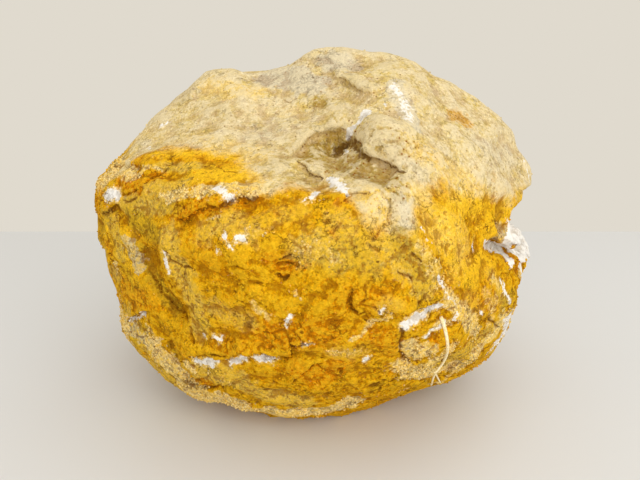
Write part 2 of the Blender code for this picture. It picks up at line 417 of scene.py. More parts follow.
def carve_valley(carver, route, width, depth):
    """A valley with a round bottom, or a rounded ridge when its depth is below zero."""
    near, distance, _, part = along(carver.at, route, width * MM)
    carver.lift[near] -= depth * MM * (1 - (distance / (width * MM)) ** 2) ** 2 * tapered(part)


def carve_mound(carver, place, radius, height):
    """A round lump, or a hollow when its height is below zero."""
    distance = np.linalg.norm(carver.at - np.array(place), axis=1) / (radius * MM)
    carver.lift += height * MM * np.clip(1 - distance**2, 0, 1) ** 2


def grab(carver, place, radius, pull):
    """Drags the skin round a place by a vector in mm, as a sculptor's grab brush does."""
    distance = np.linalg.norm(carver.at - np.array(place), axis=1) / (radius * MM)
    carver.drag += np.clip(1 - distance**2, 0, 1)[:, None] ** 2 * np.array(pull) * MM


def carve_all(brush, table, route_of):
    """Gives every row of a table to a brush: its marks as a route or a place, then its sizes."""
    for marks, *sizes in table.values():
        brush(carver, route_of(marks), *sizes)


print("brushes ready")

# %% [markdown]
# ## The forms that are seen from a step away
#
# The stone broke along beds that lie nearly level, so its ledges and cracks mostly run across it. Each one
# below has the name of what it is, the pixels it passes through from left to right, and its size in mm.

# %% Ledges
# Name: (pixels, rise, how far the step fades on either side), both in mm.
LEDGES = {
    "brow": (
        [
            (174, 218), (188, 219), (197, 211), (208, 206), (216, 205), (223, 202), (235, 198), (247, 198),
            (262, 197),
        ],
        1.8, 6,
    ),
    "rim of the bowl": (
        [(287, 158), (299, 149), (306, 140), (316, 134), (328, 132), (338, 127), (347, 122)],
        3.6, 8,
    ),
    "middle ledge": ([(298, 160), (306, 169), (310, 174), (323, 178)], 2.2, 5),
    "arc over the lens": ([(340, 204), (345, 199), (348, 194), (365, 192), (374, 193)], 1.8, 4),
    "crown ledge": (
        [(330, 68), (338, 76), (345, 81), (352, 85), (364, 92), (370, 91), (380, 88), (389, 84)],
        3.0, 7,
    ),
    "crown lines": ([(288, 67), (300, 60), (318, 58), (340, 60)], 1.4, 5),
    "under the knob": (
        [(355, 138), (361, 144), (364, 153), (370, 159), (382, 161), (390, 166), (399, 170), (407, 171)],
        2.4, 6,
    ),
    "shelf": (
        [
            (188, 357), (208, 356), (225, 357), (240, 354), (252, 355), (265, 354), (286, 356), (293, 347),
            (308, 344),
        ],
        3.2, 6,
    ),
    "low step": ([(272, 380), (285, 386), (298, 378), (311, 367), (318, 364), (328, 370)], 2.4, 5),
    "low left step": ([(185, 379), (200, 387), (215, 386), (230, 384), (243, 374)], 2.6, 5),
    "left groove lip": ([(92, 211), (103, 213), (112, 209), (120, 204)], 3.0, 5),
    "left shoulder": ([(104, 166), (118, 163), (136, 165), (152, 168), (168, 167)], 1.8, 5),
    "shoulder plates": ([(122, 182), (134, 176), (146, 172), (160, 171)], 1.8, 4),
    "shoulder plates, lower": ([(118, 194), (132, 192), (146, 186), (160, 178)], 1.6, 4),
    "left slit": ([(126, 322), (138, 315), (150, 311)], 2.4, 5),
    "wedge crack": ([(378, 321), (396, 316), (408, 316), (423, 310), (443, 301)], 2.8, 5),
    "right of the middle": ([(351, 289), (352, 300), (354, 311), (360, 315), (369, 311)], 1.8, 4),
    "plates in the front": ([(272, 266), (282, 261), (291, 257), (302, 261)], 1.8, 4),
    "bench": ([(200, 302), (222, 306), (246, 305)], 1.0, 6),
    "base lip": ([(362, 392), (384, 388), (410, 386), (440, 384), (466, 376)], 2.4, 5),
    "base lines": ([(372, 380), (396, 378), (424, 376), (450, 372)], 1.6, 4),
    "right foot": ([(470, 352), (486, 340), (502, 322)], 1.8, 5),
    "top left overhang": ([(180, 90), (188, 85), (198, 86)], 1.8, 4),
}

carve_all(carve_ledge, LEDGES, seen_route)
print(len(LEDGES), "ledges")

# %% [markdown]
# ### Valleys, lumps and the outline
#
# Weathering has rounded the valleys between the lobes, and the knobs and hollows. They have brushes of their
# own, because a sharp groove as wide as they are would look like a fold. The outline is what the eye checks
# first, so where the skin missed it by a few millimetres, it is pulled with a grab brush.

# %% Valleys and ridges
# Name: (pixels, width, depth), both in mm. A depth below zero is a ridge.
VALLEYS = {
    "left valley": (
        [(137, 240), (152, 273), (163, 291), (175, 309), (187, 316), (194, 327), (193, 348)], 9, 3.4,
    ),
    "left valley, upper": ([(112, 208), (124, 222), (139, 246)], 8, 2.0),
    "foot of the valley": ([(166, 340), (172, 352), (180, 366)], 6, 2.4),
    "low hollow": ([(184, 380), (200, 388)], 8, 2.2),
    "long ridge": (
        [(402, 172), (400, 200), (408, 226), (424, 250), (434, 272), (444, 290), (456, 310), (468, 330)],
        8, -1.8,
    ),
    "crease by the notch": ([(475, 230), (477, 245), (474, 258), (466, 268)], 6, 1.2),
    "diagonal crease": ([(336, 281), (319, 295), (306, 308), (294, 321)], 5, 1.4),
    "under the shelf": ([(200, 366), (240, 366), (280, 364)], 10, -1.6),
    "hollow left of the pit": ([(305, 158), (318, 152), (332, 146)], 10, 0.6),
    "olive hollow": ([(352, 168), (372, 174), (392, 180)], 9, 1.6),
    "left ridge": ([(160, 240), (165, 256), (170, 272), (184, 290)], 7, -2.0),
}

carve_all(carve_valley, VALLEYS, seen_route)
print(len(VALLEYS), "valleys and ridges")

# %% Lumps and hollows
# Name: (pixel, radius, height), both in mm.
LUMPS = {
    "knob": ((386, 140), 13, 1.0),
    "lower knob": ((372, 152), 6, 1.2),
    "pit": ((342, 149), 4.0, -4.0),
    "pit, left": ((335, 156), 4.0, -1.2),
    "pit, top": ((346, 146), 3.0, -2.0),
    "fill left of the pit": ((322, 152), 9, 1.6),
    "chip in the pit": ((346, 152), 2.4, 3.0),
    "left lobe": ((110, 226), 14, 1.6),
    "left lobe, lower": ((112, 258), 9, 1.6),
    "left white boss": ((113, 194), 6, 1.4),
    "bump on the top left edge": ((188, 85), 5, 1.6),
    "lens": ((375, 208), 10, 1.0),
    "round patch": ((319, 101), 7, -1.0),
    "front boss": ((250, 246), 22, 1.4),
    "front boss, right": ((330, 300), 16, 1.2),
    "low lobe": ((230, 370), 16, 1.4),
    "low lobe, right": ((420, 358), 12, 1.4),
    "hole": ((341, 371), 3.0, -2.6),
    "small pit, left": ((214, 112), 5, -0.8),
    "small pit, right": ((238, 112), 5, -0.8),
    "dark hollow": ((434, 338), 5, -1.6),
    "right dip": ((488, 322), 6, -1.2),
    "notch pocket": ((494, 247), 6, -2.0),
}

carve_all(carve_mound, LUMPS, seen_at)
print(len(LUMPS), "lumps and hollows")

# %% Corrections to the outline
# Name: (pixel, radius in mm, pull to the right, back and up in mm).
GRABS = {
    "lip of the notch, top": ((518, 226), 22, (0.5, 0, -12.5)),
    "inside of the notch": ((508, 213), 13, (-8.5, 0, -1.0)),
    "jaw over the notch": ((524, 193), 9, (2.5, 0, -5.0)),
    "under the left lobe": ((113, 284), 9, (5.5, 0, 0)),
    "left lobe": ((104, 260), 8, (-2.5, 0, -1.5)),
    "left groove": ((95, 214), 5, (2.0, 0, 0)),
    "base, left": ((158, 380), 9, (0, 0, 1.5)),
}

carve_all(grab, GRABS, seen_at)
print(len(GRABS), "corrections")

# %% [markdown]
# The photograph doesn't show the other sides. The same rock goes on there, so it gets the same kinds of
# ledge and crack, placed by compass angle (0 is the camera's side, 90 the notch's) and height.

# %% Hidden sides
# Name: (compass angles and heights, rise, how far the step fades), in degrees and mm.
BACK_LEDGES = {
    "back, long bed": ([(122, 120), (134, 134), (148, 138), (160, 130), (170, 126)], 3.0, 8),
    "back, high bed": ([(178, 150), (190, 144), (204, 148), (220, 136), (230, 122)], 2.6, 8),
    "back, lower bed": ([(134, 92), (146, 82), (158, 78), (170, 86), (180, 74)], 3.2, 8),
    "back, low bed": ([(186, 96), (198, 88), (208, 92), (220, 78)], 2.6, 7),
    "back, foot": ([(150, 36), (166, 46), (182, 40), (196, 34), (214, 44)], 2.6, 7),
    "left side bed": ([(234, 88), (248, 102), (262, 106), (274, 96), (286, 92)], 2.8, 7),
    "left side, low": ([(236, 52), (256, 58), (278, 50)], 2.4, 6),
    "right side bed": ([(62, 84), (78, 78), (98, 84), (116, 76)], 2.6, 7),
    "right side, low": ([(66, 46), (86, 52), (108, 44)], 2.2, 6),
    "back shoulder": ([(150, 172), (176, 178), (204, 170)], 2.2, 7),
}
# Name: (compass angles and heights, width, depth). They are carved later, with the other cracks.
BACK_CRACKS = {
    "back, under the bed": ([(126, 122), (136, 132), (148, 136), (158, 130)], 1.8, 1.8),
    "back, split": ([(164, 126), (167, 118), (165, 110), (169, 104)], 1.7, 1.6),
    "back, low": ([(140, 84), (150, 79), (160, 78), (168, 84)], 1.8, 1.8),
    "back, cross": ([(204, 118), (214, 114), (224, 115), (232, 111)], 1.7, 1.5),
    "left side, under the bed": ([(242, 95), (252, 102), (264, 105), (272, 97)], 1.8, 1.8),
    "right side split": ([(98, 62), (101, 54), (100, 46)], 1.7, 1.6),
    "right side cross": ([(122, 104), (131, 100), (140, 102)], 1.7, 1.6),
}
# Name: (compass angles and heights, width, depth). A depth below zero is a ridge.
BACK_VALLEYS = {
    "back valley": ([(146, 158), (156, 128), (152, 96), (160, 60), (154, 32)], 17, 3.4),
    "back ridge": ([(186, 166), (178, 134), (184, 104), (176, 70)], 15, -2.6),
    "back hollow": ([(204, 128), (212, 104), (206, 82)], 18, 3.2),
    "left side ridge": ([(236, 148), (228, 116), (234, 80), (228, 50)], 15, -2.6),
    "left side valley": ([(256, 140), (250, 112), (258, 84), (252, 50)], 15, 3.2),
    "right side valley": ([(112, 92), (106, 72), (112, 48), (104, 30)], 15, 3.2),
    "right side ridge": ([(128, 128), (134, 100), (126, 72), (132, 44)], 14, -2.4),
}

carve_all(carve_ledge, BACK_LEDGES, round_route)
carve_all(carve_valley, BACK_VALLEYS, round_route)
print(len(BACK_LEDGES), "ledges,", len(BACK_VALLEYS), "valleys and ridges on the hidden sides")
carver.apply()

# %% [markdown]
# ## Broken plates and lumps
#
# Between the big ledges the crust is rough all over: it flakes in thin plates, and weathering has left
# lumps on it. A stairway of noise gives the plates: smooth noise is cut into levels, and each level
# becomes a flat with a sharp edge. A Voronoi pattern with a tilted flat in each cell adds broken faces. The
# pale top is worn much smoother than the front, so a map of where the pale cap ends is needed first. It is
# kept as directions from the stone's middle.

# %% Where the pale cap ends
# Pixels along the front, left to right, then compass angle and angle of height behind, both in degrees.
CAP_EDGE_SEEN = [
    (96, 182), (111, 164), (122, 153), (151, 152), (177, 149), (209, 151), (238, 157), (250, 178),
    (262, 194), (290, 186), (306, 190), (330, 188), (352, 198), (362, 216), (380, 224), (394, 224),
    (406, 232), (414, 214), (420, 196), (428, 190), (437, 184), (456, 187), (472, 190), (487, 193),
    (500, 200), (513, 201), (528, 193),
]
CAP_EDGE_BEHIND = [
    (100, 8), (114, 14), (130, 30), (146, 24), (162, 40), (178, 27), (194, 36), (208, 22), (222, 34),
    (238, 19), (252, 35), (270, 26),
]


def compass(places):
    """Compass angle and angle of height of places, as seen from the stone's middle, in degrees."""
    away = np.atleast_2d(places) - np.array(HEART)
    turn = np.degrees(np.arctan2(away[:, 0], -away[:, 1])) % 360
    climb = np.degrees(np.arctan2(away[:, 2], np.hypot(away[:, 0], away[:, 1])))
    return turn, climb


seen_turns, seen_climbs = compass([seen_at(pixel) for pixel in CAP_EDGE_SEEN])
edge_turns = np.concatenate([seen_turns, [turn for turn, _ in CAP_EDGE_BEHIND]])
edge_climbs = np.concatenate([seen_climbs, [climb for _, climb in CAP_EDGE_BEHIND]])
order = np.argsort(edge_turns)
edge_turns, edge_climbs = edge_turns[order], edge_climbs[order]


def over_cap_edge(places):
    """How far above the cap's lower edge each place is, in degrees."""
    turn, climb = compass(places)
    return climb - np.interp(turn, edge_turns, edge_climbs, period=360)


print("cap edge, degrees:", [round(value) for value in edge_climbs])

# %% Where the rock is rugged
# Name: (pixels, radius in mm, how rugged from 0 to 1).
RUGGED = {
    "low band": ([(150, 372), (200, 384), (260, 398), (330, 396), (400, 376), (460, 362)], 26, 1.0),
    "shelf": ([(190, 352), (240, 350), (300, 345)], 13, 0.8),
    "left lobe": ([(106, 190), (112, 230), (118, 270), (140, 320)], 24, 0.85),
    "valley side": ([(162, 244), (176, 280), (196, 320)], 13, 0.8),
    "shoulder": ([(116, 178), (140, 180), (166, 172)], 13, 0.9),
    "brow": ([(176, 214), (216, 202), (258, 198)], 8, 0.7),
    "plates": ([(252, 272), (284, 266), (300, 256)], 9, 0.7),
    "lower right": ([(354, 306), (390, 316), (440, 306)], 18, 0.8),
    "right foot": ([(410, 346), (450, 344), (490, 330)], 22, 0.8),
    "knob and pit": ([(332, 152), (356, 148), (386, 140), (396, 160)], 14, 0.75),
    "long ridge": ([(402, 184), (412, 232), (438, 280), (462, 322)], 8, 0.6),
}
PLAIN_FRONT, PLAIN_CAP, CAP_EASES_OVER = 0.3, 0.2, 12
BEHIND_FROM, BEHIND_OVER = 10 * MM, 40 * MM
BEHIND_PATCH_SIZE, BEHIND_MORE, BEHIND_BELOW = 45, 0.35, 60


def ruggedness(work):
    """0 where the rock is worn smooth, 1 where it is freshly broken."""
    _, climb = compass(work.at)
    behind = smooth_step((work.at[:, 1] - BEHIND_FROM) / BEHIND_OVER)
    cap = smooth_step(over_cap_edge(work.at) / CAP_EASES_OVER + 0.5)
    level = PLAIN_FRONT + (PLAIN_CAP - PLAIN_FRONT) * cap
    patches = smooth_step(work.rough(BEHIND_PATCH_SIZE, 2, seed=20.0) + 0.5)
    level = level + behind * BEHIND_MORE * patches * (climb < BEHIND_BELOW)
    for pixels, radius, amount in RUGGED.values():
        near, strength = laid(work, seen_route(pixels), radius)
        level[near] = np.maximum(level[near], level[near] * (1 - strength) + amount * strength)
    return level


rugged = ruggedness(carver)
print("rugged, mean:", round(float(rugged.mean()), 2))

# %% Plates
# All in mm, but the levels and the edge, which are shares of a level.
PLATE_SIZE, PLATE_LEVELS, PLATE_BED = 42, 1.7, 15
PLATE_RISE, PLATE_EDGE = 0.85, 0.1
FLAT_SIZE, FLAT_RISE = 19, 1.3
LUMP_SIZE, LUMP_RISE, LUMP_LEAST = 15, 0.75, 0.4


def stairway(field):
    """Levels with sharp edges: how far a staircase lies above the slope it is cut into."""
    level = np.floor(field)
    rest = field - level
    return level + smooth_step((rest - 0.5) / PLATE_EDGE + 0.5) - field


def roughen(size, octaves, seed, rise, least):
    """Adds noise of a size and height in mm, with at least a share of it where the rock is worn."""
    carver.lift += carver.rough(size, octaves, seed=seed) * rise * MM * (least + (1 - least) * rugged)


beds = carver.rough(PLATE_SIZE, 5, seed=2.3) * PLATE_LEVELS + carver.at[:, 2] / (PLATE_BED * MM)
carver.lift += stairway(beds) * PLATE_RISE * MM * rugged
flats, _ = carver.flats(FLAT_SIZE, seed=3.1)
carver.lift += flats * FLAT_RISE * MM * rugged
roughen(LUMP_SIZE, 3, 5.1, LUMP_RISE, LUMP_LEAST)
carver.apply()
stone_tree = tree_of(skin)
print("flats, mm:", round(float(np.ptp(flats)) * FLAT_RISE, 2))

# %% [markdown]
# ## Cracks
#
# Cracks come after the plates, so that nothing fills them again. Each is a narrow groove with a wandering
# route. The darkest ones get painted shade later from the same table, so groove and colour always agree.

# %% Cracks
# Name: (pixels, width, depth, how dark its painted shade is, from 0 to 1). Width and depth in mm.
CRACKS = {
    "under the brow": (
        [
            (176, 219), (188, 220), (197, 213), (208, 208), (216, 207), (223, 204), (235, 200), (247, 200),
            (260, 199),
        ],
        1.9, 1.6, 0.75,
    ),
    "shelf crack": (
        [
            (190, 358), (208, 357), (225, 358), (240, 355), (252, 356), (265, 355), (286, 357), (293, 348),
            (308, 345),
        ],
        2.2, 3.4, 1.0,
    ),
    "crown crack": ([(338, 77), (345, 82), (352, 86), (364, 93)], 1.6, 1.2, 0.55),
    "knob crack": (
        [(355, 139), (361, 145), (364, 154), (370, 160), (382, 162), (390, 167), (399, 171), (406, 172)],
        2.2, 2.6, 0.9,
    ),
    "bowl rim": ([(300, 149), (307, 141), (316, 135), (328, 133)], 1.5, 0.9, 0.5),
    "middle crack": ([(299, 161), (306, 170), (311, 176), (323, 179)], 1.7, 1.6, 0.8),
    "small crack on top": ([(284, 99), (290, 102), (297, 99)], 1.3, 0.8, 0.5),
    "arc crack": ([(342, 203), (345, 199), (348, 195), (365, 193), (373, 194)], 1.5, 1.2, 0.7),
    "lens edge": ([(391, 197), (391, 212), (386, 221)], 1.6, 1.2, 0.6),
    "upper plates": ([(280, 259), (291, 255), (300, 260)], 1.8, 1.6, 0.85),
    "middle plates": ([(274, 266), (282, 263), (299, 265)], 1.5, 1.2, 0.7),
    "lower plates": ([(276, 274), (283, 279), (289, 275)], 2.0, 1.8, 0.95),
    "left of the plates": ([(248, 284), (255, 282), (263, 283)], 1.5, 1.2, 0.7),
    "front hair crack": ([(229, 268), (238, 267), (246, 270)], 1.4, 1.0, 0.6),
    "left groove": ([(93, 211), (103, 214), (112, 210), (119, 205)], 2.2, 2.2, 0.8),
    "shoulder crack": ([(122, 194), (130, 193), (138, 190)], 1.6, 1.2, 0.7),
    "shoulder crack, lower": ([(122, 200), (130, 201), (138, 197)], 1.6, 1.2, 0.6),
    "shoulder crack, right": ([(144, 184), (152, 178), (160, 173), (169, 168)], 1.6, 1.2, 0.6),
    "fine crack in the gold": ([(216, 167), (226, 170), (239, 171)], 1.2, 0.7, 0.5),
    "left slit": ([(126, 322), (138, 316), (148, 312)], 2.0, 2.4, 0.9),
    "valley line": ([(163, 245), (170, 260), (182, 266), (195, 269)], 1.6, 1.3, 0.7),
    "valley floor": ([(152, 273), (163, 291), (172, 305), (186, 316), (192, 326)], 2.0, 1.6, 0.6),
    "valley floor, lower": ([(191, 326), (192, 336), (194, 346)], 1.6, 1.4, 0.6),
    "under the low lobe": ([(184, 379), (192, 385), (202, 388), (214, 387), (230, 385)], 2.0, 1.8, 0.8),
    "low crack": ([(271, 381), (285, 387), (298, 379), (311, 368), (318, 365), (327, 371)], 1.8, 1.8, 0.75),
    "drop crack": ([(351, 289), (350, 299), (352, 310), (358, 315), (368, 312)], 1.8, 1.8, 0.85),
    "triangle crack": ([(365, 320), (370, 323), (378, 321)], 1.4, 1.2, 0.8),
    "wedge crack": ([(378, 321), (396, 317), (408, 315), (423, 309), (441, 301)], 1.9, 2.4, 0.9),
    "crack above the wedge": ([(382, 311), (391, 315), (401, 315)], 1.6, 1.4, 0.9),
    "right drop crack": ([(402, 327), (402, 342), (400, 354), (406, 361), (414, 365)], 2.0, 1.8, 0.8),
    "red streak": ([(340, 222), (335, 230), (331, 237)], 1.3, 0.7, 0.5),
    "red streak, right": ([(386, 221), (380, 231), (373, 242)], 1.3, 0.8, 0.5),
    "ridge specks": ([(412, 250), (415, 256), (420, 263)], 1.4, 0.9, 0.8),
    "ridge specks, lower": ([(396, 269), (404, 274), (415, 280)], 1.4, 0.9, 0.7),
    "right dark crack": ([(487, 318), (493, 322), (499, 327)], 1.8, 1.4, 0.85),
    "base crack": ([(380, 384), (400, 381), (424, 381), (448, 378), (464, 374)], 1.4, 1.2, 0.7),
    "base crack, upper": ([(396, 376), (414, 372), (430, 371)], 1.3, 1.0, 0.6),
    "by the rootlet": ([(452, 338), (457, 346), (452, 356)], 1.4, 1.0, 0.6),
    "right face line": ([(504, 246), (507, 262), (513, 278), (512, 292)], 1.6, 1.2, 0.5),
}

for pixels, width, depth, _ in CRACKS.values():
    carve_groove(carver, seen_route(pixels), width, depth)
carve_all(carve_groove, BACK_CRACKS, round_route)
print(len(CRACKS) + len(BACK_CRACKS), "cracks")

# %% [markdown]
# ## The rock's own grain
#
# Weathered limestone is rough at every scale. Short seams of its own run between small broken flats, and
# fractal noise gives the grain. All of it fades on the worn cap. Where the quartz is bared, it gives way to
# chips with flat faces: each cell of a Voronoi pattern is a plane with one tilt.

# %% Bared quartz in the notch
# Middle and half-sizes of the broken places, in mm, in the order right, back, up.
BARE_QUARTZ = {
    "notch": ((131, 3, 109), (30, 48, 13)),
    "pocket": ((104, -44, 100), (12, 27, 8)),
    "lip": ((124, -12, 94), (13, 27, 14)),
}
BARE_EDGE, BARE_FADE = 1.22, 0.2


def bared(places):
    """1 where a place lies in the broken notch, and 0 on the crust."""
    most = np.zeros(len(places))
    for middle, half in BARE_QUARTZ.values():
        away = (places - np.array(middle) * MM) / (np.array(half) * MM)
        most = np.maximum(most, smooth_step((BARE_EDGE - np.linalg.norm(away, axis=1)) / BARE_FADE))
    return most


QUARTZ_CHIP, CHIP_RISE = 5.5, 1.5
CHIP_TILT = Vector((0.5, -0.4, 0.75))
BARE_ENOUGH = 0.05
quartz_bare = bared(carver.at)
chips = np.zeros(len(carver.at))
for number in np.nonzero(quartz_bare > BARE_ENOUGH)[0]:
    _, cells = noise.voronoi(carver.vectors[number] / (QUARTZ_CHIP * MM))
    toward = (cells[0] * QUARTZ_CHIP * MM - carver.vectors[number]) / (QUARTZ_CHIP * MM)
    chips[number] = toward.dot(CHIP_TILT)
carver.lift += chips * quartz_bare * CHIP_RISE * MM
print("bared points:", int((quartz_bare > 0.5).sum()))

# %% Grain
SEAM_CELL, SEAM_WIDTH, SEAM_DEPTH = 17, 0.075, 0.8
SEAM_PATCH, SEAM_FROM, SEAM_FADE = 16, 0.12, 0.14
SMALL_FLAT, SMALL_FLAT_RISE = 6.5, 0.5
QUARTZ_CALM = 0.7
# Name: (size in mm, octaves, seed, height in mm, the least share of it).
GRAIN = {"coarse": (5.0, 4, 8.2, 0.34, 0.25), "fine": (2.1, 2, 14.9, 0.26, 0.4)}


def seams(work):
    """Short cracks of the rock's own, along some of the borders between flats: 0 to 1."""
    _, gaps = work.flats(SEAM_CELL, seed=8.8)
    some = smooth_step((work.rough(SEAM_PATCH, 2, seed=6.6) - SEAM_FROM) / SEAM_FADE)
    return np.clip(1 - gaps / SEAM_WIDTH, 0, 1) * some


rugged = ruggedness(carver) * (1 - quartz_bare * QUARTZ_CALM)
carver.lift -= seams(carver) * SEAM_DEPTH * MM * rugged
small_flats, _ = carver.flats(SMALL_FLAT, seed=9.4)
carver.lift += small_flats * SMALL_FLAT_RISE * MM * rugged
for layer in GRAIN.values():
    roughen(*layer)
    carver.apply()

# Nothing may stick out below the floor.
carver.drag[:, 2] -= np.minimum(carver.at[:, 2], 0)
carver.apply()
print("grain carved on", len(carver.at), "points")

# %% [markdown]
# ## Fewer triangles where the rock is flat
#
# The net is even, so it is finer than the smooth cap needs. Decimating merges its flattest triangles first
# and leaves the cracks and edges sharp, and brings the piece under the 200,000 that its STL may have.

# %% Thin the skin
MOST_TRIANGLES = 192_000


def triangle_count(mesh):
    """How many triangles a mesh has."""
    return sum(len(face.vertices) - 2 for face in mesh.polygons)


before = triangle_count(skin.data)
if before > MOST_TRIANGLES:
    thinning = skin.modifiers.new("thinning", "DECIMATE")
    thinning.ratio = MOST_TRIANGLES / before
    apply_modifiers(skin)
for face in skin.data.polygons:
    face.use_smooth = True
painter = Carver(skin.data)
print("triangles:", before, "->", triangle_count(skin.data))

# %% [markdown]
# ## Paint
#
# Iron in the ground stained the crust: ochre all over the front, deeper orange where water ran, olive in
# the hollows, where it is partly painted shade. The top stayed pale. Each tone is a map on the points, built
# from strokes and dabs: 0 where there is none, 1 where it is plain, and more where it has to win over the
# noise. The material breaks the edges up with that noise, so they never look like round spots.

# %% Strokes and dabs
TONES = (
    "cap", "rust", "olive", "gold", "peach", "straw", "cream", "grey", "white", "pores", "dark", "hollow",
)
CRACK_PAINTED = 0.5
HIDDEN_CRACK_DARKNESS = 0.6
CAP_PAINT_OVER = 24
RAGGED_FINE, RAGGED_BROAD = 0.55, 0.3

paint = {tone: np.zeros(len(painter.at)) for tone in TONES}
ragged = (
    1 + RAGGED_FINE * painter.rough(3.6, 3, seed=17.0) + RAGGED_BROAD * painter.rough(9, 2, seed=18.0)
)


def dab(tone, route, radius, amount):
    """Lays a tone along a route, full at its middle and fading out, raggedly, at the radius, in mm."""
    near, strength = laid(painter, route, radius, ragged)
    paint[tone][near] = np.maximum(paint[tone][near], strength * amount)


paint["cap"] = np.clip(over_cap_edge(painter.at) / CAP_PAINT_OVER + 0.5, 0, 1)
# Painted shade: the dark along each crack stands for the shade in its gap.
for pixels, width, _, darkness in CRACKS.values():
    dab("dark", seen_route(pixels), width * CRACK_PAINTED, darkness)
for marks, width, _ in BACK_CRACKS.values():
    dab("dark", round_route(marks), width * CRACK_PAINTED, HIDDEN_CRACK_DARKNESS)
# The other marks are placed on the finished skin.
stone_tree = tree_of(skin)
print("cracks painted")

# %% [markdown]
# ### White scars
#
# Knocks have flaked the crust off in small places, and each has left a white scar with a dusty, creamy halo.
# They could be chips of mesh. Paint is enough, because they lie flush with the crust.

# %% White scars
# Name: (pixels, radius in mm, amount).
WHITE_SCARS = {
    "left boss": ([(107, 195), (113, 193), (118, 197)], 4.6, 1.0),
    "above the brow": ([(217, 189), (224, 191)], 3.6, 0.95),
    "above the brow, right": ([(225, 197), (230, 196)], 3.2, 0.95),
    "front specks": ([(236, 240), (241, 239)], 2.8, 1.0),
    "front specks, lower": ([(230, 248), (233, 251)], 2.2, 1.0),
    "front specks, left": ([(223, 235), (225, 239)], 1.8, 0.9),
    "front specks, low left": ([(217, 249), (219, 250)], 1.6, 0.8),
    "valley ridge": ([(163, 252), (166, 264), (169, 272)], 1.8, 0.9),
    "left slit wedge": ([(130, 320), (138, 317), (146, 313)], 1.8, 0.9),
    "under the shelf, left": ([(198, 360), (206, 361), (214, 360)], 2.8, 1.15),
    "under the shelf, middle": ([(232, 362), (238, 360), (245, 357)], 2.6, 1.15),
    "under the shelf, right": ([(255, 358), (264, 358), (272, 358)], 2.4, 1.15),
    "low chip": ([(214, 337), (220, 340)], 2.4, 0.9),
    "low chip, left": ([(202, 334), (206, 338)], 2.2, 0.6),
    "dyke": ([(364, 113), (367, 115)], 5.0, 1.1),
    "dyke, lower": ([(362, 119), (355, 128), (349, 136)], 3.0, 1.0),
    "vein": ([(395, 85), (399, 94)], 4.6, 0.8),
    "vein, lower": ([(404, 102), (407, 111), (411, 120)], 4.6, 0.74),
    "dots by the vein": ([(384, 105), (386, 106)], 1.6, 0.9),
    "middle patch": ([(330, 180), (338, 185), (345, 190)], 3.8, 1.0),
    "middle patch, left": ([(306, 200), (312, 196), (316, 193)], 2.8, 0.95),
    "chip in the pit": ([(345, 150), (347, 152)], 1.6, 1.0),
    "wedge": ([(405, 323), (412, 321), (421, 316)], 4.0, 1.1),
    "wedge tip": ([(420, 315), (430, 309), (441, 304)], 2.2, 1.0),
    "triangle": ([(379, 315), (383, 307)], 1.8, 0.8),
    "band below the wedge": ([(424, 338), (434, 328), (444, 323)], 2.2, 0.8),
    "small white by the band": ([(453, 318), (457, 313)], 1.8, 0.8),
    "low right chip": ([(364, 361), (367, 358)], 2.4, 1.0),
    "ridge patch": ([(438, 276), (441, 282)], 2.2, 0.8),
    "ridge line": ([(421, 227), (427, 236), (431, 243)], 1.4, 0.7),
    "crest line": ([(442, 286), (446, 294), (454, 304)], 1.4, 0.7),
    "right streak": ([(500, 280), (505, 290), (510, 302)], 2.0, 0.8),
    "right rim": ([(523, 160), (527, 170), (530, 182)], 1.8, 0.8),
    "right foot rim": ([(488, 352), (498, 341), (506, 328), (508, 318)], 5.5, 0.85),
    "crease dot": ([(472, 244), (473, 250)], 1.8, 0.8),
    "small chip, lower front": ([(285, 326), (288, 320), (291, 315)], 1.7, 0.9),
    "grey chip by the shelf": ([(300, 347), (309, 344)], 1.6, 0.6),
    "top left specks": ([(150, 147), (151, 148)], 1.5, 0.9),
    "top left specks, right": ([(155, 149), (157, 148)], 1.5, 0.9),
    "small dots, right": ([(480, 313), (482, 314)], 1.3, 0.9),
}

SCAR_WHITENESS = 0.88
HALO_WIDTH, HALO_AMOUNT = 1.8, 0.75

for pixels, radius, amount in WHITE_SCARS.values():
    dab("cream", seen_route(pixels), radius * HALO_WIDTH, amount * HALO_AMOUNT)
    dab("white", seen_route(pixels), radius, amount * SCAR_WHITENESS)
print(len(WHITE_SCARS), "white scars")
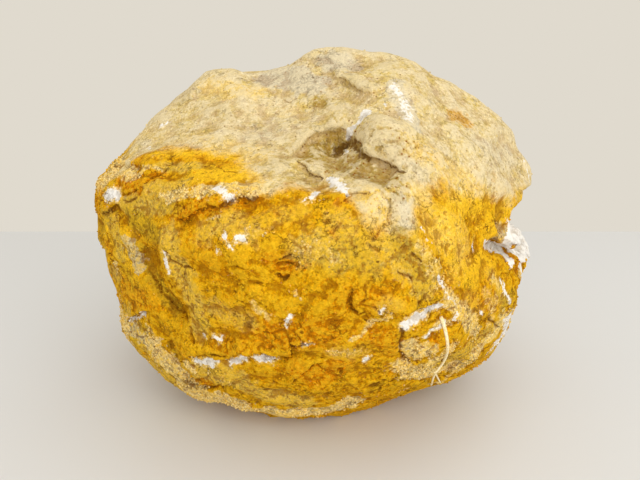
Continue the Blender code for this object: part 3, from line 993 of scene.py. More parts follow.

# %% [markdown]
# ### Stains and crusts
#
# Each stain follows something: rust runs down from the cap, olive sits in the hollows, partly as painted
# shade, and cream crusts the ridges and the low edge, where it is partly painted light from the floor. One
# noise for all of them would put them anywhere, so each has a name, a route and a reach.

# %% Stains and crusts
# Tone: {name: (pixels, radius in mm, amount)}.
STAINS = {
    "rust": {
        "left shoulder": ([(122, 178), (134, 184), (148, 184), (160, 176)], 8, 1.0),
        "under the cap": ([(132, 163), (156, 160), (182, 160), (208, 160), (232, 163)], 6, 0.5),
        "left edge": ([(100, 196), (98, 226), (106, 262), (112, 270)], 10, 0.6),
        "left belly": ([(124, 286), (134, 300), (150, 300)], 12, 0.6),
        "brow": ([(176, 216), (200, 208), (224, 202), (258, 198)], 6, 0.85),
        "front, left": ([(186, 240), (200, 256), (214, 268)], 12, 0.45),
        "plates": ([(270, 258), (285, 268), (298, 262)], 7, 0.75),
        "front, low": ([(262, 330), (292, 338), (326, 330)], 16, 0.75),
        "low middle": ([(296, 372), (318, 378), (338, 366)], 12, 0.85),
        "low left": ([(186, 382), (206, 380)], 9, 0.75),
        "over the shelf": ([(212, 348), (246, 348), (284, 342)], 9, 0.55),
        "middle": ([(344, 302), (364, 298), (380, 296)], 12, 0.55),
        "below the drop crack": ([(366, 334), (384, 340), (394, 350)], 11, 0.7),
        "by the rootlet": ([(436, 338), (440, 344)], 5, 1.0),
        "right face": ([(484, 216), (492, 222), (488, 232)], 8, 0.25),
        "notch tongue": ([(510, 244), (512, 256), (516, 268)], 6, 0.9),
        "right cheek": ([(492, 284), (484, 300), (470, 312)], 14, 0.5),
        "cap spot": ([(457, 118), (464, 122)], 10, 1.3),
        "cap drip": ([(494, 178), (500, 188), (502, 198)], 7, 0.55),
        "cap smear": ([(420, 146), (428, 154), (437, 160)], 8, 0.6),
        "red streak": ([(340, 222), (331, 237)], 4, 0.8),
        "red streak, right": ([(386, 221), (373, 242)], 4, 0.8),
        "arc": ([(338, 204), (346, 199)], 4, 0.8),
    },
    "gold": {
        "fan below the cap": ([(196, 172), (214, 170), (226, 170), (248, 180)], 13, 1.2),
        "top band": ([(210, 86), (232, 91), (256, 92)], 11, 0.75),
        "bowl edge": ([(214, 146), (240, 148), (262, 158)], 13, 0.7),
        "cap, left": ([(146, 134), (176, 140), (200, 136)], 12, 0.5),
        "cap, right": ([(416, 148), (440, 166), (470, 182)], 13, 0.75),
        "cap, over the bowl": ([(286, 112), (300, 108)], 10, 0.5),
        "front": ([(300, 226), (340, 246), (376, 258)], 26, 0.35),
        "band under the cap": ([(150, 156), (178, 153), (210, 154), (240, 158)], 6, 1.0),
        "right face": ([(440, 232), (452, 216), (460, 204), (480, 204)], 13, 1.0),
        "left of the notch": ([(506, 204), (498, 216), (492, 230)], 11, 1.0),
        "right of the ridge, low": ([(452, 262), (470, 276), (484, 262)], 12, 0.7),
        "left lobe": ([(140, 206), (150, 222)], 10, 0.6),
    },
    "peach": {
        "right face": ([(442, 224), (454, 232), (464, 248)], 13, 1.0),
        "right of the ridge": ([(418, 196), (428, 214), (438, 236)], 11, 0.9),
        "over the crease": ([(462, 250), (456, 268)], 9, 0.6),
        "by the crest": ([(468, 300), (478, 318)], 8, 0.4),
        "lens": ([(372, 200), (378, 214)], 10, 1.5),
        "right cap edge": ([(440, 192), (470, 196)], 8, 0.4),
    },
    "straw": {
        "ridge left of the front": ([(166, 236), (178, 262), (194, 300), (200, 330)], 11, 0.8),
        "left lobe": ([(108, 214), (116, 234), (120, 254)], 9, 0.9),
        "shoulder": ([(148, 192), (166, 186), (184, 190)], 7, 0.9),
        "lobe": ([(124, 206), (146, 206), (168, 204)], 8, 0.9),
        "between the golds": ([(158, 166), (180, 168), (200, 166)], 5, 0.9),
        "lower left": ([(132, 320), (146, 346), (166, 366), (184, 380)], 13, 1.4),
        "low lobe": ([(196, 372), (226, 378), (258, 392), (300, 404)], 12, 1.0),
        "ridge speckle": ([(396, 244), (412, 262), (426, 284)], 13, 0.9),
        "long ridge": ([(398, 182), (402, 206), (412, 232)], 10, 0.8),
        "front, upper": ([(256, 226), (276, 214), (300, 212)], 10, 0.45),
        "front, pale": ([(300, 250), (322, 246), (336, 258)], 11, 0.9),
        "front, olive straw": ([(340, 226), (356, 240), (372, 262)], 13, 0.6),
        "front, left": ([(206, 232), (228, 222), (250, 232)], 10, 0.6),
        "front, low left": ([(214, 306), (232, 318), (252, 322)], 9, 0.6),
        "shelf": ([(200, 366), (228, 368)], 8, 0.6),
        "right foot": ([(420, 366), (446, 362), (470, 350), (490, 334)], 14, 1.2),
        "wedge": ([(384, 306), (398, 304)], 7, 0.5),
        "right cheek": ([(490, 276), (500, 288), (504, 306)], 7, 0.6),
        "middle low": ([(340, 352), (360, 352)], 9, 0.5),
    },
    # Olive is the crust's own colour; in the valley, beside the pit, at the knob's foot and under the middle
    # ledge it is also painted shade.
    "olive": {
        "valley": ([(139, 248), (152, 275), (163, 292), (178, 310)], 6, 0.9),
        "valley, lower": ([(170, 344), (176, 356), (181, 366)], 4, 0.9),
        "lobe": ([(130, 216), (144, 226), (156, 238)], 10, 0.85),
        "grooves on the lobe": ([(160, 207), (178, 210)], 6, 0.6),
        "slit patch": ([(140, 324), (152, 334), (163, 350)], 6, 0.55),
        "hollow left of the pit": ([(308, 158), (324, 151), (336, 142)], 11, 1.15),
        "slope of the bowl": ([(268, 168), (284, 158), (296, 146)], 11, 0.6),
        "speckled slope": ([(398, 240), (412, 258), (424, 276)], 12, 0.6),
        "front, middle": ([(330, 262), (350, 250), (368, 272)], 13, 0.6),
        "olive hollow": ([(342, 166), (366, 174), (392, 184)], 15, 1.0),
        "lens": ([(374, 206), (380, 216)], 8, 0.5),
        "slope over the hollow": ([(296, 140), (318, 128), (340, 116)], 9, 0.45),
        "under the middle ledge": ([(286, 176), (304, 180), (318, 186)], 7, 0.6),
        "round patch": ([(317, 100), (322, 103)], 7, 0.9),
        "crown ledge": ([(300, 92), (330, 96), (352, 94)], 9, 0.3),
        "knob foot": ([(345, 139), (356, 146), (362, 156)], 6, 0.9),
        "front right": ([(384, 268), (398, 270)], 7, 0.5),
        "knob": ([(366, 128), (384, 134), (398, 152)], 12, 0.62),
        "pits on top": ([(214, 104), (222, 112), (232, 118)], 5, 0.6),
        "pits on top, left": ([(196, 108), (204, 106), (212, 112)], 5, 0.45),
        "pits on top, right": ([(232, 108), (242, 108), (250, 116)], 5, 0.5),
        "brow side": ([(262, 160), (280, 164), (296, 172)], 9, 0.45),
        "right foot": ([(474, 356), (486, 352)], 5, 0.3),
        "left groove": ([(96, 214), (106, 222)], 5, 0.5),
    },
    "cream": {
        "lobe grains": ([(160, 196), (170, 198), (181, 196)], 3.4, 0.8),
        "cap edge, left": ([(98, 168), (112, 168), (130, 172)], 8, 0.9),
        "shoulder ridge": ([(125, 180), (133, 177), (141, 174)], 2.6, 0.9),
        "shoulder ridge, upper": ([(143, 168), (152, 167), (162, 169)], 2.4, 0.8),
        "below the brow": ([(207, 219), (213, 218), (219, 216)], 2.4, 0.7),
        "front pale patch": ([(304, 250), (318, 246), (334, 256)], 7, 0.5),
        "front pale patch, left": ([(256, 230), (268, 228)], 6, 0.5),
        "front grains": ([(254, 306), (262, 312), (268, 318)], 5, 0.7),
        "pinkish dots": ([(294, 292), (300, 298)], 2.6, 0.6),
        "ridge": ([(402, 180), (404, 205), (408, 228)], 6, 0.25),
        "ridge, lower": ([(420, 244), (430, 262), (438, 282)], 7, 0.6),
        "ridge crest": ([(444, 288), (453, 302), (462, 318), (468, 329)], 3.2, 0.9),
        "band left of the wedge": ([(352, 341), (361, 333), (369, 325), (390, 318)], 2.6, 0.8),
        "granular patch": ([(408, 344), (416, 352), (428, 352)], 8, 1.1),
        "band right of the wedge": ([(424, 337), (437, 325), (450, 321)], 3.4, 0.9),
        "low left crust": ([(150, 330), (158, 344), (164, 354)], 6, 0.6),
        "low left chip": ([(187, 364), (194, 372)], 4, 0.9),
        "low lobe": ([(208, 370), (216, 380), (232, 382)], 4, 0.5),
        "small squares": ([(202, 336), (206, 339)], 3, 0.8),
        "above the brow": ([(196, 192), (214, 190), (238, 186), (262, 188)], 6, 1.3),
        "above the brow, left": ([(170, 196), (184, 194)], 5, 1.0),
        # The two low edge rows are pale crust, laid strong enough to stand also for light thrown up from the
        # floor: painted light.
        "low edge": ([(140, 362), (166, 384), (200, 396), (230, 400), (262, 411)], 11, 1.7),
        "low edge, right": ([(262, 411), (296, 415), (330, 409), (352, 402)], 9, 1.4),
        "low edge, far right": ([(400, 390), (440, 384), (470, 374)], 3.6, 0.7),
        "right foot": ([(430, 372), (456, 364), (478, 348), (496, 332), (504, 318)], 7, 1.0),
        "right cheek": ([(494, 280), (498, 286)], 4, 0.7),
        "front low specks": ([(330, 352), (352, 354), (366, 350)], 6, 0.5),
        "crest, right": ([(450, 300), (464, 312), (476, 330)], 8, 0.85),
        "low right": ([(400, 366), (420, 376), (450, 350)], 10, 0.8),
        "cheek": ([(486, 292), (494, 306), (490, 320)], 7, 0.6),
        "lens": ([(372, 202), (376, 212)], 8, 0.8),
        "left edge, low": ([(116, 262), (117, 274)], 1.8, 0.9),
    },
    "grey": {
        "chip scar": ([(128, 242), (133, 251), (137, 261), (137, 268)], 6.0, 1.6),
        "crown left": ([(270, 78), (290, 76), (312, 84)], 14, 1.3),
        "crown": ([(330, 60), (346, 64)], 12, 0.9),
        "bowl": ([(250, 140), (272, 130), (286, 116)], 15, 0.45),
        "top left": ([(128, 168), (116, 172), (104, 176)], 5, 0.7),
        "vein": ([(394, 82), (400, 98), (408, 112), (414, 124)], 7, 1.4),
        "ridge": ([(404, 186), (406, 204), (408, 222)], 7, 0.9),
        "slit chip": ([(128, 330), (136, 330), (144, 340)], 6, 1.0),
        "right face": ([(484, 146), (496, 156), (506, 150)], 13, 0.45),
        "below the knob": ([(404, 150), (414, 170), (420, 190)], 10, 0.5),
        "olive hollow": ([(352, 172), (372, 180), (390, 190)], 9, 0.55),
        "front right": ([(386, 266), (398, 272), (408, 280)], 7, 0.6),
        "shelf chip": ([(302, 347), (311, 344)], 2, 0.8),
    },
    "pores": {
        "knob": ([(356, 132), (376, 134), (392, 144), (404, 158)], 15, 1.3),
        "over the knob": ([(376, 112), (396, 122), (410, 132)], 11, 0.7),
        "below the pit": ([(340, 168), (366, 176), (392, 186)], 16, 1.4),
        "crown": ([(284, 70), (310, 68), (340, 74), (372, 82)], 17, 0.7),
        "crown right": ([(400, 84), (420, 96), (440, 110)], 13, 0.7),
        "round patch": ([(317, 100), (322, 103)], 9, 0.9),
        "cap spot": ([(456, 118), (464, 122)], 9, 1.0),
        "cap, right": ([(484, 176), (500, 186), (508, 196)], 11, 0.6),
        "ridge": ([(402, 182), (408, 216), (424, 250), (440, 284), (462, 322)], 11, 0.9),
        "speckled slope": ([(396, 236), (412, 258), (430, 284)], 15, 1.0),
        "notch": ([(482, 222), (486, 234)], 7, 0.8),
        "lobe": ([(104, 196), (114, 226), (126, 262)], 13, 0.7),
        "low edge": ([(140, 356), (176, 380), (220, 392), (270, 400), (330, 400)], 15, 0.4),
        "right foot": ([(420, 360), (450, 356), (484, 338)], 15, 0.9),
        "front": ([(240, 250), (290, 268), (340, 262)], 22, 0.35),
    },
    # The dark in the pit, beside it, under the brow and the overhang, in the low hollow, under the drop
    # crack, in the hole and on the pocket's roof is painted shade; the specks are the rock's own dark.
    "dark": {
        "pit": ([(336, 154), (341, 150), (347, 144)], 4.6, 0.7),
        "beside the pit": ([(350, 141), (356, 147), (362, 155), (372, 161)], 2.8, 0.7),
        "brow": ([(208, 206), (230, 201), (256, 199)], 2.6, 0.5),
        "overhang": ([(185, 85), (191, 84)], 2.0, 0.6),
        "low hollow": ([(186, 381), (194, 385)], 5, 0.6),
        "under the drop crack": ([(400, 332), (398, 346)], 4, 0.5),
        "hole": ([(340, 371), (342, 372)], 1.8, 0.8),
        "cap spot": ([(312, 76), (313, 77)], 1.4, 0.7),
        "cap spot, left": ([(301, 77), (302, 78)], 1.3, 0.6),
        "cap spot, far left": ([(289, 66), (291, 65)], 1.3, 0.6),
        "limestone speck": ([(115, 165), (116, 166)], 1.3, 0.8),
        "front speck": ([(234, 292), (235, 293)], 1.2, 0.9),
        "front speck, right": ([(302, 331), (303, 332)], 1.4, 0.9),
        "front speck, upper": ([(285, 205), (286, 206)], 1.3, 0.7),
        "front speck, far right": ([(376, 262), (377, 263)], 1.2, 0.8),
        "pocket roof": ([(488, 241), (496, 239), (503, 241)], 2.2, 0.2),
    },
}

for tone, stains in STAINS.items():
    for pixels, radius, amount in stains.values():
        dab(tone, seen_route(pixels), radius, amount)
print({tone: len(stains) for tone, stains in STAINS.items()})

# %% [markdown]
# ### Hidden sides
#
# The sides that the photograph doesn't show weathered in the same way. Their stains are drawn at random,
# from a set seed, in the same tones and about the same sizes, so that the stone looks whole from behind.

# %% Stains on the hidden sides
HIDDEN_SEED = 7
HIDDEN_TURNS = (62, 290)
HIDDEN_LENGTHS, HIDDEN_SLOPES, HIDDEN_STRENGTHS = (0.4, 1.8), (-0.8, 0.8), (0.7, 1)
STONE_RADIUS = 110
# Tone: (how many, smallest and largest radius in mm, lowest and highest place in mm, amount).
HIDDEN_STAINS = {
    "rust": (24, (8, 22), (15, 140), 0.9),
    "gold": (24, (10, 24), (30, 150), 1.0),
    "straw": (30, (9, 22), (10, 150), 1.0),
    "olive": (26, (7, 17), (10, 150), 0.85),
    "cream": (36, (4, 12), (8, 170), 0.9),
    "grey": (16, (6, 14), (30, 180), 0.9),
    "white": (14, (1.4, 3.6), (20, 170), 0.9),
    "pores": (14, (10, 20), (10, 190), 0.9),
}

draw = random.Random(HIDDEN_SEED)
for tone, (count, radii, heights, amount) in HIDDEN_STAINS.items():
    for _ in range(count):
        turn, height = draw.uniform(*HIDDEN_TURNS), draw.uniform(*heights)
        reach = draw.uniform(*radii)
        turn_end = turn + math.degrees(reach * draw.uniform(*HIDDEN_LENGTHS) / STONE_RADIUS)
        height_end = height + reach * draw.uniform(*HIDDEN_SLOPES)
        places = [round_at((turn, height)), round_at((turn_end, height_end))]
        if None not in places:
            dab(tone, wandering(places), reach, amount * draw.uniform(*HIDDEN_STRENGTHS))
print("hidden sides stained")

# %% [markdown]
# ### Bared quartz and hollows
#
# In the notch the crust is gone and the quartz is white, with tongues of crust left over it. Every hollow
# gets painted shade. Hollows could be found with an occlusion bake. Here it is enough to ask how far each
# point lies below the mean of its neighbours.

# %% Bared quartz and hollows
# Name: (pixels, radius in mm).
QUARTZ_SEEN = {
    "lip": ([(510, 230), (518, 230), (524, 236), (526, 246), (524, 256)], 8),
    "lip, inside": ([(510, 236), (518, 246), (522, 258)], 6),
    "pocket": ([(484, 244), (491, 247), (499, 246), (507, 245)], 3.6),
    "pocket, low": ([(493, 250), (501, 253), (507, 258), (511, 264)], 3.6),
}
# Crust that is left over the break: (pixels, radius in mm).
CRUST_LEFT = {
    "tongue": ([(511, 249), (514, 256), (517, 268)], 2.8),
    "lobe over the pocket": ([(480, 228), (490, 230), (498, 231), (503, 229)], 4.6),
    "shell": ([(482, 254), (490, 260), (500, 266), (508, 272)], 5.0),
    "edge of the lip": ([(526, 262), (522, 268)], 3.0),
}
# In front of these the seen marks say where quartz shows; behind them the broken places do.
FRONT_FROM, FRONT_TO = -20 * MM, -34 * MM
QUARTZ_AMOUNT = 1.15

behind = smooth_step((painter.at[:, 1] - FRONT_TO) / (FRONT_FROM - FRONT_TO))
paint["white"] = np.maximum(paint["white"], bared(painter.at) * behind)
for pixels, radius in QUARTZ_SEEN.values():
    dab("white", seen_route(pixels), radius, QUARTZ_AMOUNT)
# The seams get painted shade as well, off the cap.
paint["dark"] = np.maximum(paint["dark"], seams(painter) * ruggedness(painter) * (1 - paint["cap"]))
for pixels, radius in CRUST_LEFT.values():
    near, strength = laid(painter, seen_route(pixels), radius, ragged)
    paint["white"][near] *= 1 - strength


def neighbour_mean(mesh, values):
    """The mean of each point's neighbours."""
    pairs = np.empty(len(mesh.edges) * 2, np.int32)
    mesh.edges.foreach_get("vertices", pairs)
    one, other = pairs.reshape(-1, 2).T
    total = np.zeros_like(values)
    np.add.at(total, one, values[other])
    np.add.at(total, other, values[one])
    count = np.bincount(pairs, minlength=len(values)).astype(float)
    return total / (count[:, None] if values.ndim > 1 else count)


# The hollow map drives painted shade in the hollows and painted highlight on the raised places.
HOLLOW_PASSES = 3
HOLLOW_FULL = 0.22 * MM
smoothed = painter.at
for _ in range(HOLLOW_PASSES):
    smoothed = neighbour_mean(skin.data, smoothed)
sunk = np.einsum("ij,ij->i", smoothed - painter.at, painter.out)
paint["hollow"] = np.clip(0.5 + sunk / HOLLOW_FULL / 2, 0, 1)
print("hollow, mean:", round(float(paint["hollow"].mean()), 3))


# %% Write the paint to the mesh
def store_paint(mesh, maps):
    """Keeps each tone's map as an attribute that the material reads."""
    for tone, values in maps.items():
        layer = mesh.attributes.new(tone, "FLOAT", "POINT")
        layer.data.foreach_set("value", values.astype(np.float32))


store_paint(skin.data, paint)
print({tone: round(float(values.mean()), 3) for tone, values in paint.items()})

# %% [markdown]
# ## The material
#
# One material covers the stone, as one rock does. It starts as ochre, and each tone is laid over it where
# its map and a noise of the right size together pass a threshold. To keep that readable, a small class
# wraps a node's socket, so that plain arithmetic on it adds Math nodes.


# %% Shader arithmetic
class Wire:
    """A socket with arithmetic: an expression on wires adds the Math nodes for it."""

    def __init__(self, bench, socket):
        self.bench, self.socket = bench, socket

    def _math(self, operation, *terms):
        """Adds a Math node on wires and numbers."""
        return self.bench.add("ShaderNodeMath", {"operation": operation}, dict(enumerate(terms)))

    def __add__(self, other):
        return self._math("ADD", self, other)

    def __sub__(self, other):
        return self._math("SUBTRACT", self, other)

    def __rsub__(self, other):
        return self._math("SUBTRACT", other, self)

    def __mul__(self, other):
        return self._math("MULTIPLY", self, other)

    __radd__, __rmul__ = __add__, __mul__

    def above(self, threshold, softness):
        """0 well below the threshold, 1 well above it, with an S curve between."""
        return self.bench.add(
            "ShaderNodeMapRange",
            {"interpolation_type": "SMOOTHSTEP"},
            {"Value": self, "From Min": threshold - softness, "From Max": threshold + softness},
        )


class Bench:
    """A material's node tree, with one method that adds any node."""

    def __init__(self, name):
        self.material = bpy.data.materials.new(name)
        self.material.use_nodes = True
        self.tree = self.material.node_tree
        self.tree.nodes.clear()
        self.place = self.add("ShaderNodeTexCoord", {}, {}, "Object")

    def add(self, kind, settings, sockets, output=0):
        """Adds a node: its type, its settings, the values or wires of its sockets, and the output to use."""
        node = self.tree.nodes.new(kind)
        for setting, value in settings.items():
            setattr(node, setting, value)
        for key, value in sockets.items():
            if isinstance(value, Wire):
                self.tree.links.new(value.socket, node.inputs[key])
            else:
                node.inputs[key].default_value = value
        return Wire(self, node.outputs[output]) if node.outputs else None

    def noise(self, size, detail, roughness):
        """Noise of a size in mm, about 0.5 in the mean."""
        sockets = {"Vector": self.place, "Scale": 1 / (size * MM), "Detail": detail, "Roughness": roughness}
        return self.add("ShaderNodeTexNoise", {}, sockets)

    def cells(self, size):
        """How far a place is from the middle of its cell, in a Voronoi pattern of a size in mm."""
        return self.add("ShaderNodeTexVoronoi", {}, {"Vector": self.place, "Scale": 1 / (size * MM)})

    def tone(self, name):
        """One of the painted maps."""
        return self.add("ShaderNodeAttribute", {"attribute_name": name}, {}, "Fac")

    def finish(self, **sockets):
        """The shader and the output node."""
        named = {key.replace("_", " "): value for key, value in sockets.items()}
        shader = self.add("ShaderNodeBsdfPrincipled", {}, named)
        self.add("ShaderNodeOutputMaterial", {}, {"Surface": shader})
        return self.material

    def mix(self, under, over, mask):
        """Lays one colour over another where the mask is 1."""
        return self.add("ShaderNodeMix", {"data_type": "RGBA"}, {0: mask, 6: under, 7: over}, 2)


def colour(red, green, blue):
    """A colour as it looks on screen, 0 to 255, turned to the linear values that Blender uses."""
    linear = [
        part / 12.92 if part <= 0.04045 else ((part + 0.055) / 1.055) ** 2.4
        for part in (red / 255, green / 255, blue / 255)
    ]
    return (*linear, 1.0)


print("middle grey, linear:", round(colour(128, 128, 128)[0], 3))

# %% The rind's colours
OCHRE = colour(207, 151, 4)
OCHRE_LIGHT = colour(220, 170, 14)
OCHRE_DEEP = colour(194, 134, 0)
GRAIN_AND_HIGHLIGHT_OCHRE = colour(236, 188, 34)
RUST = colour(204, 126, 0)
RUST_DEEP = colour(170, 92, 0)
GOLD = colour(240, 190, 40)
PEACH = colour(242, 204, 96)
OLIVE = colour(164, 134, 34)
STRAW = colour(208, 178, 84)
CAP_BEIGE = colour(216, 195, 146)
CAP_YELLOW = colour(218, 192, 112)
CAP_GREY = colour(207, 197, 172)
CAP_LIGHT = colour(232, 217, 180)
CREAM = colour(238, 216, 152)
LIMESTONE = colour(204, 190, 146)
QUARTZ = colour(246, 243, 238)
QUARTZ_GREY = colour(206, 196, 182)
# Soil brown: pores, pinholes and dark flecks, and the painted shade in the hollows.
SOIL_AND_SHADE = colour(140, 84, 4)
# Near black brown for the painted shade in the cracks, the pit and under overhangs, for the rock's own dark
# specks, and for the fine crackle lines.
CRACK_SHADE_AND_SPECK = colour(98, 58, 6)
print("ochre, linear:", [round(part, 3) for part in OCHRE])

# %% [markdown]
# ### The layers
#
# The crust and the cap are two rocks to the eye, so each gets its own table of layers. A layer is a colour
# and a mask, and the mask adds shares of noise to a painted tone: the noise frays the tone's edge.

# %% Stains on the crust and on the cap
# Name: (size in mm, detail, roughness).
NOISES = {
    "wide": (34, 3, 0.55),
    "hair": (15, 5, 0.62),
    "broad": (12, 4, 0.55),
    "crackle": (8, 6, 0.6),
    "patchy": (7, 6, 0.72),
    "middle": (4.5, 4, 0.6),
    "fleck, coarse": (2.6, 2, 0.5),
    "small": (1.8, 3, 0.65),
    "fleck, fine": (1.4, 2, 0.5),
    "grain": (1.0, 4, 0.8),
}

rind = Bench("weathered_rind")
fields = {name: rind.noise(*numbers) for name, numbers in NOISES.items()}
fields.update({tone: rind.tone(tone) for tone in TONES})
broad, patchy, small, grain = (fields[name] for name in ("broad", "patchy", "small", "grain"))
hollow = fields["hollow"]


def mask(shares, edge, softness):
    """1 where the shares of the noises and painted tones together lie above the edge, 0 below it."""
    first, *rest = [fields[name] * share for name, share in shares.items()]
    return sum(rest, first).above(edge, softness)


def stained(under, layers):
    """Lays the colours of a table over one another."""
    for over, shares, edge, softness, strength in layers:
        under = rind.mix(under, over, mask(shares, edge, softness) * strength)
    return under


# Colour, the shares that make its mask, the mask's edge and softness, and how strongly the colour covers.
CRUST_LAYERS = [
    (OCHRE_LIGHT, {"broad": 0.4, "patchy": 0.6}, 0.55, 0.16, 1.0),
    (OCHRE_DEEP, {"wide": 0.7, "patchy": 0.3}, 0.52, 0.14, 0.7),
    (RUST, {"small": 0.8, "patchy": 0.4}, 0.66, 0.1, 0.4),
    (GOLD, {"gold": 0.8, "patchy": 0.5}, 0.66, 0.3, 0.85),
    (RUST, {"rust": 0.75, "patchy": 0.7}, 0.74, 0.26, 0.9),
    (STRAW, {"straw": 0.7, "patchy": 0.7}, 0.7, 0.24, 0.8),
    (OLIVE, {"olive": 0.8, "patchy": 0.6}, 0.74, 0.24, 0.8),
]
CAP_LAYERS = [
    (CAP_YELLOW, {"broad": 0.6, "wide": 0.4}, 0.52, 0.12, 1.0),
    (CAP_LIGHT, {"patchy": 0.65, "small": 0.35}, 0.55, 0.12, 0.8),
    (CAP_GREY, {"grey": 0.7, "patchy": 0.5}, 0.6, 0.25, 0.85),
    (PEACH, {"gold": 0.7, "patchy": 0.5}, 0.7, 0.35, 0.8),
    (OCHRE, {"rust": 0.7, "patchy": 0.8}, 0.9, 0.25, 0.75),
    (OLIVE, {"olive": 0.75, "patchy": 0.6}, 0.76, 0.3, 0.75),
]
CAP_BREAKS_BROAD, CAP_BREAKS_PATCHY = 0.4, 0.35
CREAM_LAYER = (CREAM, {"cream": 0.55, "small": 0.45, "patchy": 0.35}, 0.74, 0.13, 0.9)
LIMESTONE_COVERS, PEACH_COVERS = 0.9, 0.85

broken_edge = (broad - 0.5) * CAP_BREAKS_BROAD + (patchy - 0.5) * CAP_BREAKS_PATCHY
cap_mask = (fields["cap"] + broken_edge).above(0.5, 0.13)
bare = 1 - cap_mask
tint = rind.mix(stained(OCHRE, CRUST_LAYERS), stained(CAP_BEIGE, CAP_LAYERS), cap_mask)
limestone = mask({"grey": 0.8, "patchy": 0.5}, 0.8, 0.14)
tint = rind.mix(tint, LIMESTONE, limestone * LIMESTONE_COVERS * bare)
tint = stained(tint, [CREAM_LAYER])
tint = rind.mix(tint, PEACH, fields["peach"] * (patchy + 0.25).above(0.6, 0.3) * PEACH_COVERS)
print("nodes so far:", len(rind.tree.nodes))

# %% [markdown]
# ### Grains and flecks
#
# From a step away the crust looks sandy, with pale grains and dark flecks of a millimetre or two. They are
# partly the grains' own colour and partly painted highlight and shade of the fine relief. An image could show
# them. A pattern in the material stays sharp from close by, and needs no unwrapping.

# %% Grains and flecks
GRAIN_CONTRAST, SPECK_CONTRAST, CAP_CALM = 2.3, 1.5, 0.42
GRAINS_COVER, FLECKS_COVER = (0.6, 0.4), (0.55, 0.28)
LIGHT_FLECK_FROM, DARK_FLECK_FROM, FLECK_SOFTNESS = 0.56, 0.435, 0.045
FLECK_DARKNESS, STAIN_HIDES_FLECKS = 0.42, 0.45
# Name: (cell size in mm, how near the middle of its cell a dot begins, its softness).
DOTS = {"grains": (2.0, 0.7, 0.14), "pinholes": (3.1, 0.86, 0.06), "pores": (2.3, 0.76, 0.07)}


def dots(name):
    """1 in the middle of each cell of a pattern, 0 between them."""
    size, edge, softness = DOTS[name]
    return (1 - rind.cells(size)).above(edge, softness)


def lighten(under, where, on_crust, on_cap):
    """Pale grains, partly painted highlight: golden on the crust, cream on the cap, each with its own
    strength.
    """
    under = rind.mix(under, GRAIN_AND_HIGHLIGHT_OCHRE, where * bare * on_crust)
    return rind.mix(under, CAP_LIGHT, where * cap_mask * on_cap)


def darken(under, over, where, strength, cap_spared):
    """A dark colour where the mask says, and less of it on the cap."""
    return rind.mix(under, over, where * (1 - cap_mask * cap_spared) * strength)


# Grains, the brightness noise and the flecks are partly the crust's own colour and partly painted highlight
# and shade of the fine relief.
grains = dots("grains") * small.above(0.5, 0.12)
tint = lighten(tint, grains, *GRAINS_COVER)
contrast = (grain - 0.5) * GRAIN_CONTRAST + (small - 0.5) * SPECK_CONTRAST
shade = 1 + contrast * (1 - cap_mask * CAP_CALM)
tint = rind.add("ShaderNodeHueSaturation", {}, {"Value": shade, "Color": tint})

fleck = fields["fleck, coarse"] * 0.5 + fields["fleck, fine"] * 0.5
tint = lighten(tint, fleck.above(LIGHT_FLECK_FROM, FLECK_SOFTNESS), *FLECKS_COVER)
dark_fleck = 1 - fleck.above(DARK_FLECK_FROM, FLECK_SOFTNESS)
unstained = 1 - (fields["peach"] + fields["gold"]) * STAIN_HIDES_FLECKS
tint = darken(tint, SOIL_AND_SHADE, dark_fleck * unstained, FLECK_DARKNESS, 0.7)
print("nodes so far:", len(rind.tree.nodes))

# %% [markdown]
# ### Pores, hollows and fine lines
#
# Water has eaten pinholes into the rock, soil fills its pores, and hair cracks cross it. The hollows are
# darkened and the raised places lightened: painted shade and painted highlight. The holes are the middles of
# Voronoi cells. A line is the contour where a smooth noise passes its mean, which wanders as a crack does.

# %% Pores, hollows and fine lines
PINHOLE_DARKNESS, PORE_DARKNESS, PORES_EVERYWHERE = 0.75, 0.85, 0.08
RAISED_EDGE_CRUST, RAISED_EDGE_CAP, RAISED_SOFTNESS = 0.7, 0.68, 0.16
RAISED_CRUST_COVERS, RAISED_CAP_COVERS, HOLLOW_SHADE_COVERS = 0.4, 0.5, 0.6
HAIR_FINENESS, CRACKLE_FINENESS = 5200, 2600
HAIR_COVERS, CRACKLE_COVERS = 0.5, 0.55


def thin_line(field, fineness):
    """1 along the contour where a noise passes its mean."""
    return (1 - ((field - 0.5) * (field - 0.5) * fineness)).above(0.5, 0.5)


pinholes = dots("pinholes") * patchy.above(0.52, 0.06)
tint = rind.mix(tint, SOIL_AND_SHADE, pinholes * PINHOLE_DARKNESS)
pores = dots("pores") * small.above(0.46, 0.1)
tint = rind.mix(tint, SOIL_AND_SHADE, pores * (fields["pores"] + PORES_EVERYWHERE) * PORE_DARKNESS)
# Painted shade: the hollows are darkened.
tint = darken(tint, SOIL_AND_SHADE, mask({"hollow": 0.75, "small": 0.35}, 0.74, 0.16), HOLLOW_SHADE_COVERS, 0.55)
# Painted highlight: the raised places are lightened.
raised = 1 - hollow + (small - 0.5) * 0.5
highlight_crust = raised.above(RAISED_EDGE_CRUST, RAISED_SOFTNESS) * bare
highlight_cap = raised.above(RAISED_EDGE_CAP, RAISED_SOFTNESS) * cap_mask
tint = rind.mix(tint, GRAIN_AND_HIGHLIGHT_OCHRE, highlight_crust * RAISED_CRUST_COVERS)
tint = rind.mix(tint, CAP_LIGHT, highlight_cap * RAISED_CAP_COVERS)
hair_line = thin_line(fields["hair"], HAIR_FINENESS) * patchy.above(0.56, 0.06)
tint = darken(tint, RUST_DEEP, hair_line, HAIR_COVERS, 0.6)
crackle_line = thin_line(fields["crackle"], CRACKLE_FINENESS) * broad.above(0.54, 0.04)
tint = darken(tint, CRACK_SHADE_AND_SPECK, crackle_line, CRACKLE_COVERS, 0.7)
print("nodes so far:", len(rind.tree.nodes))

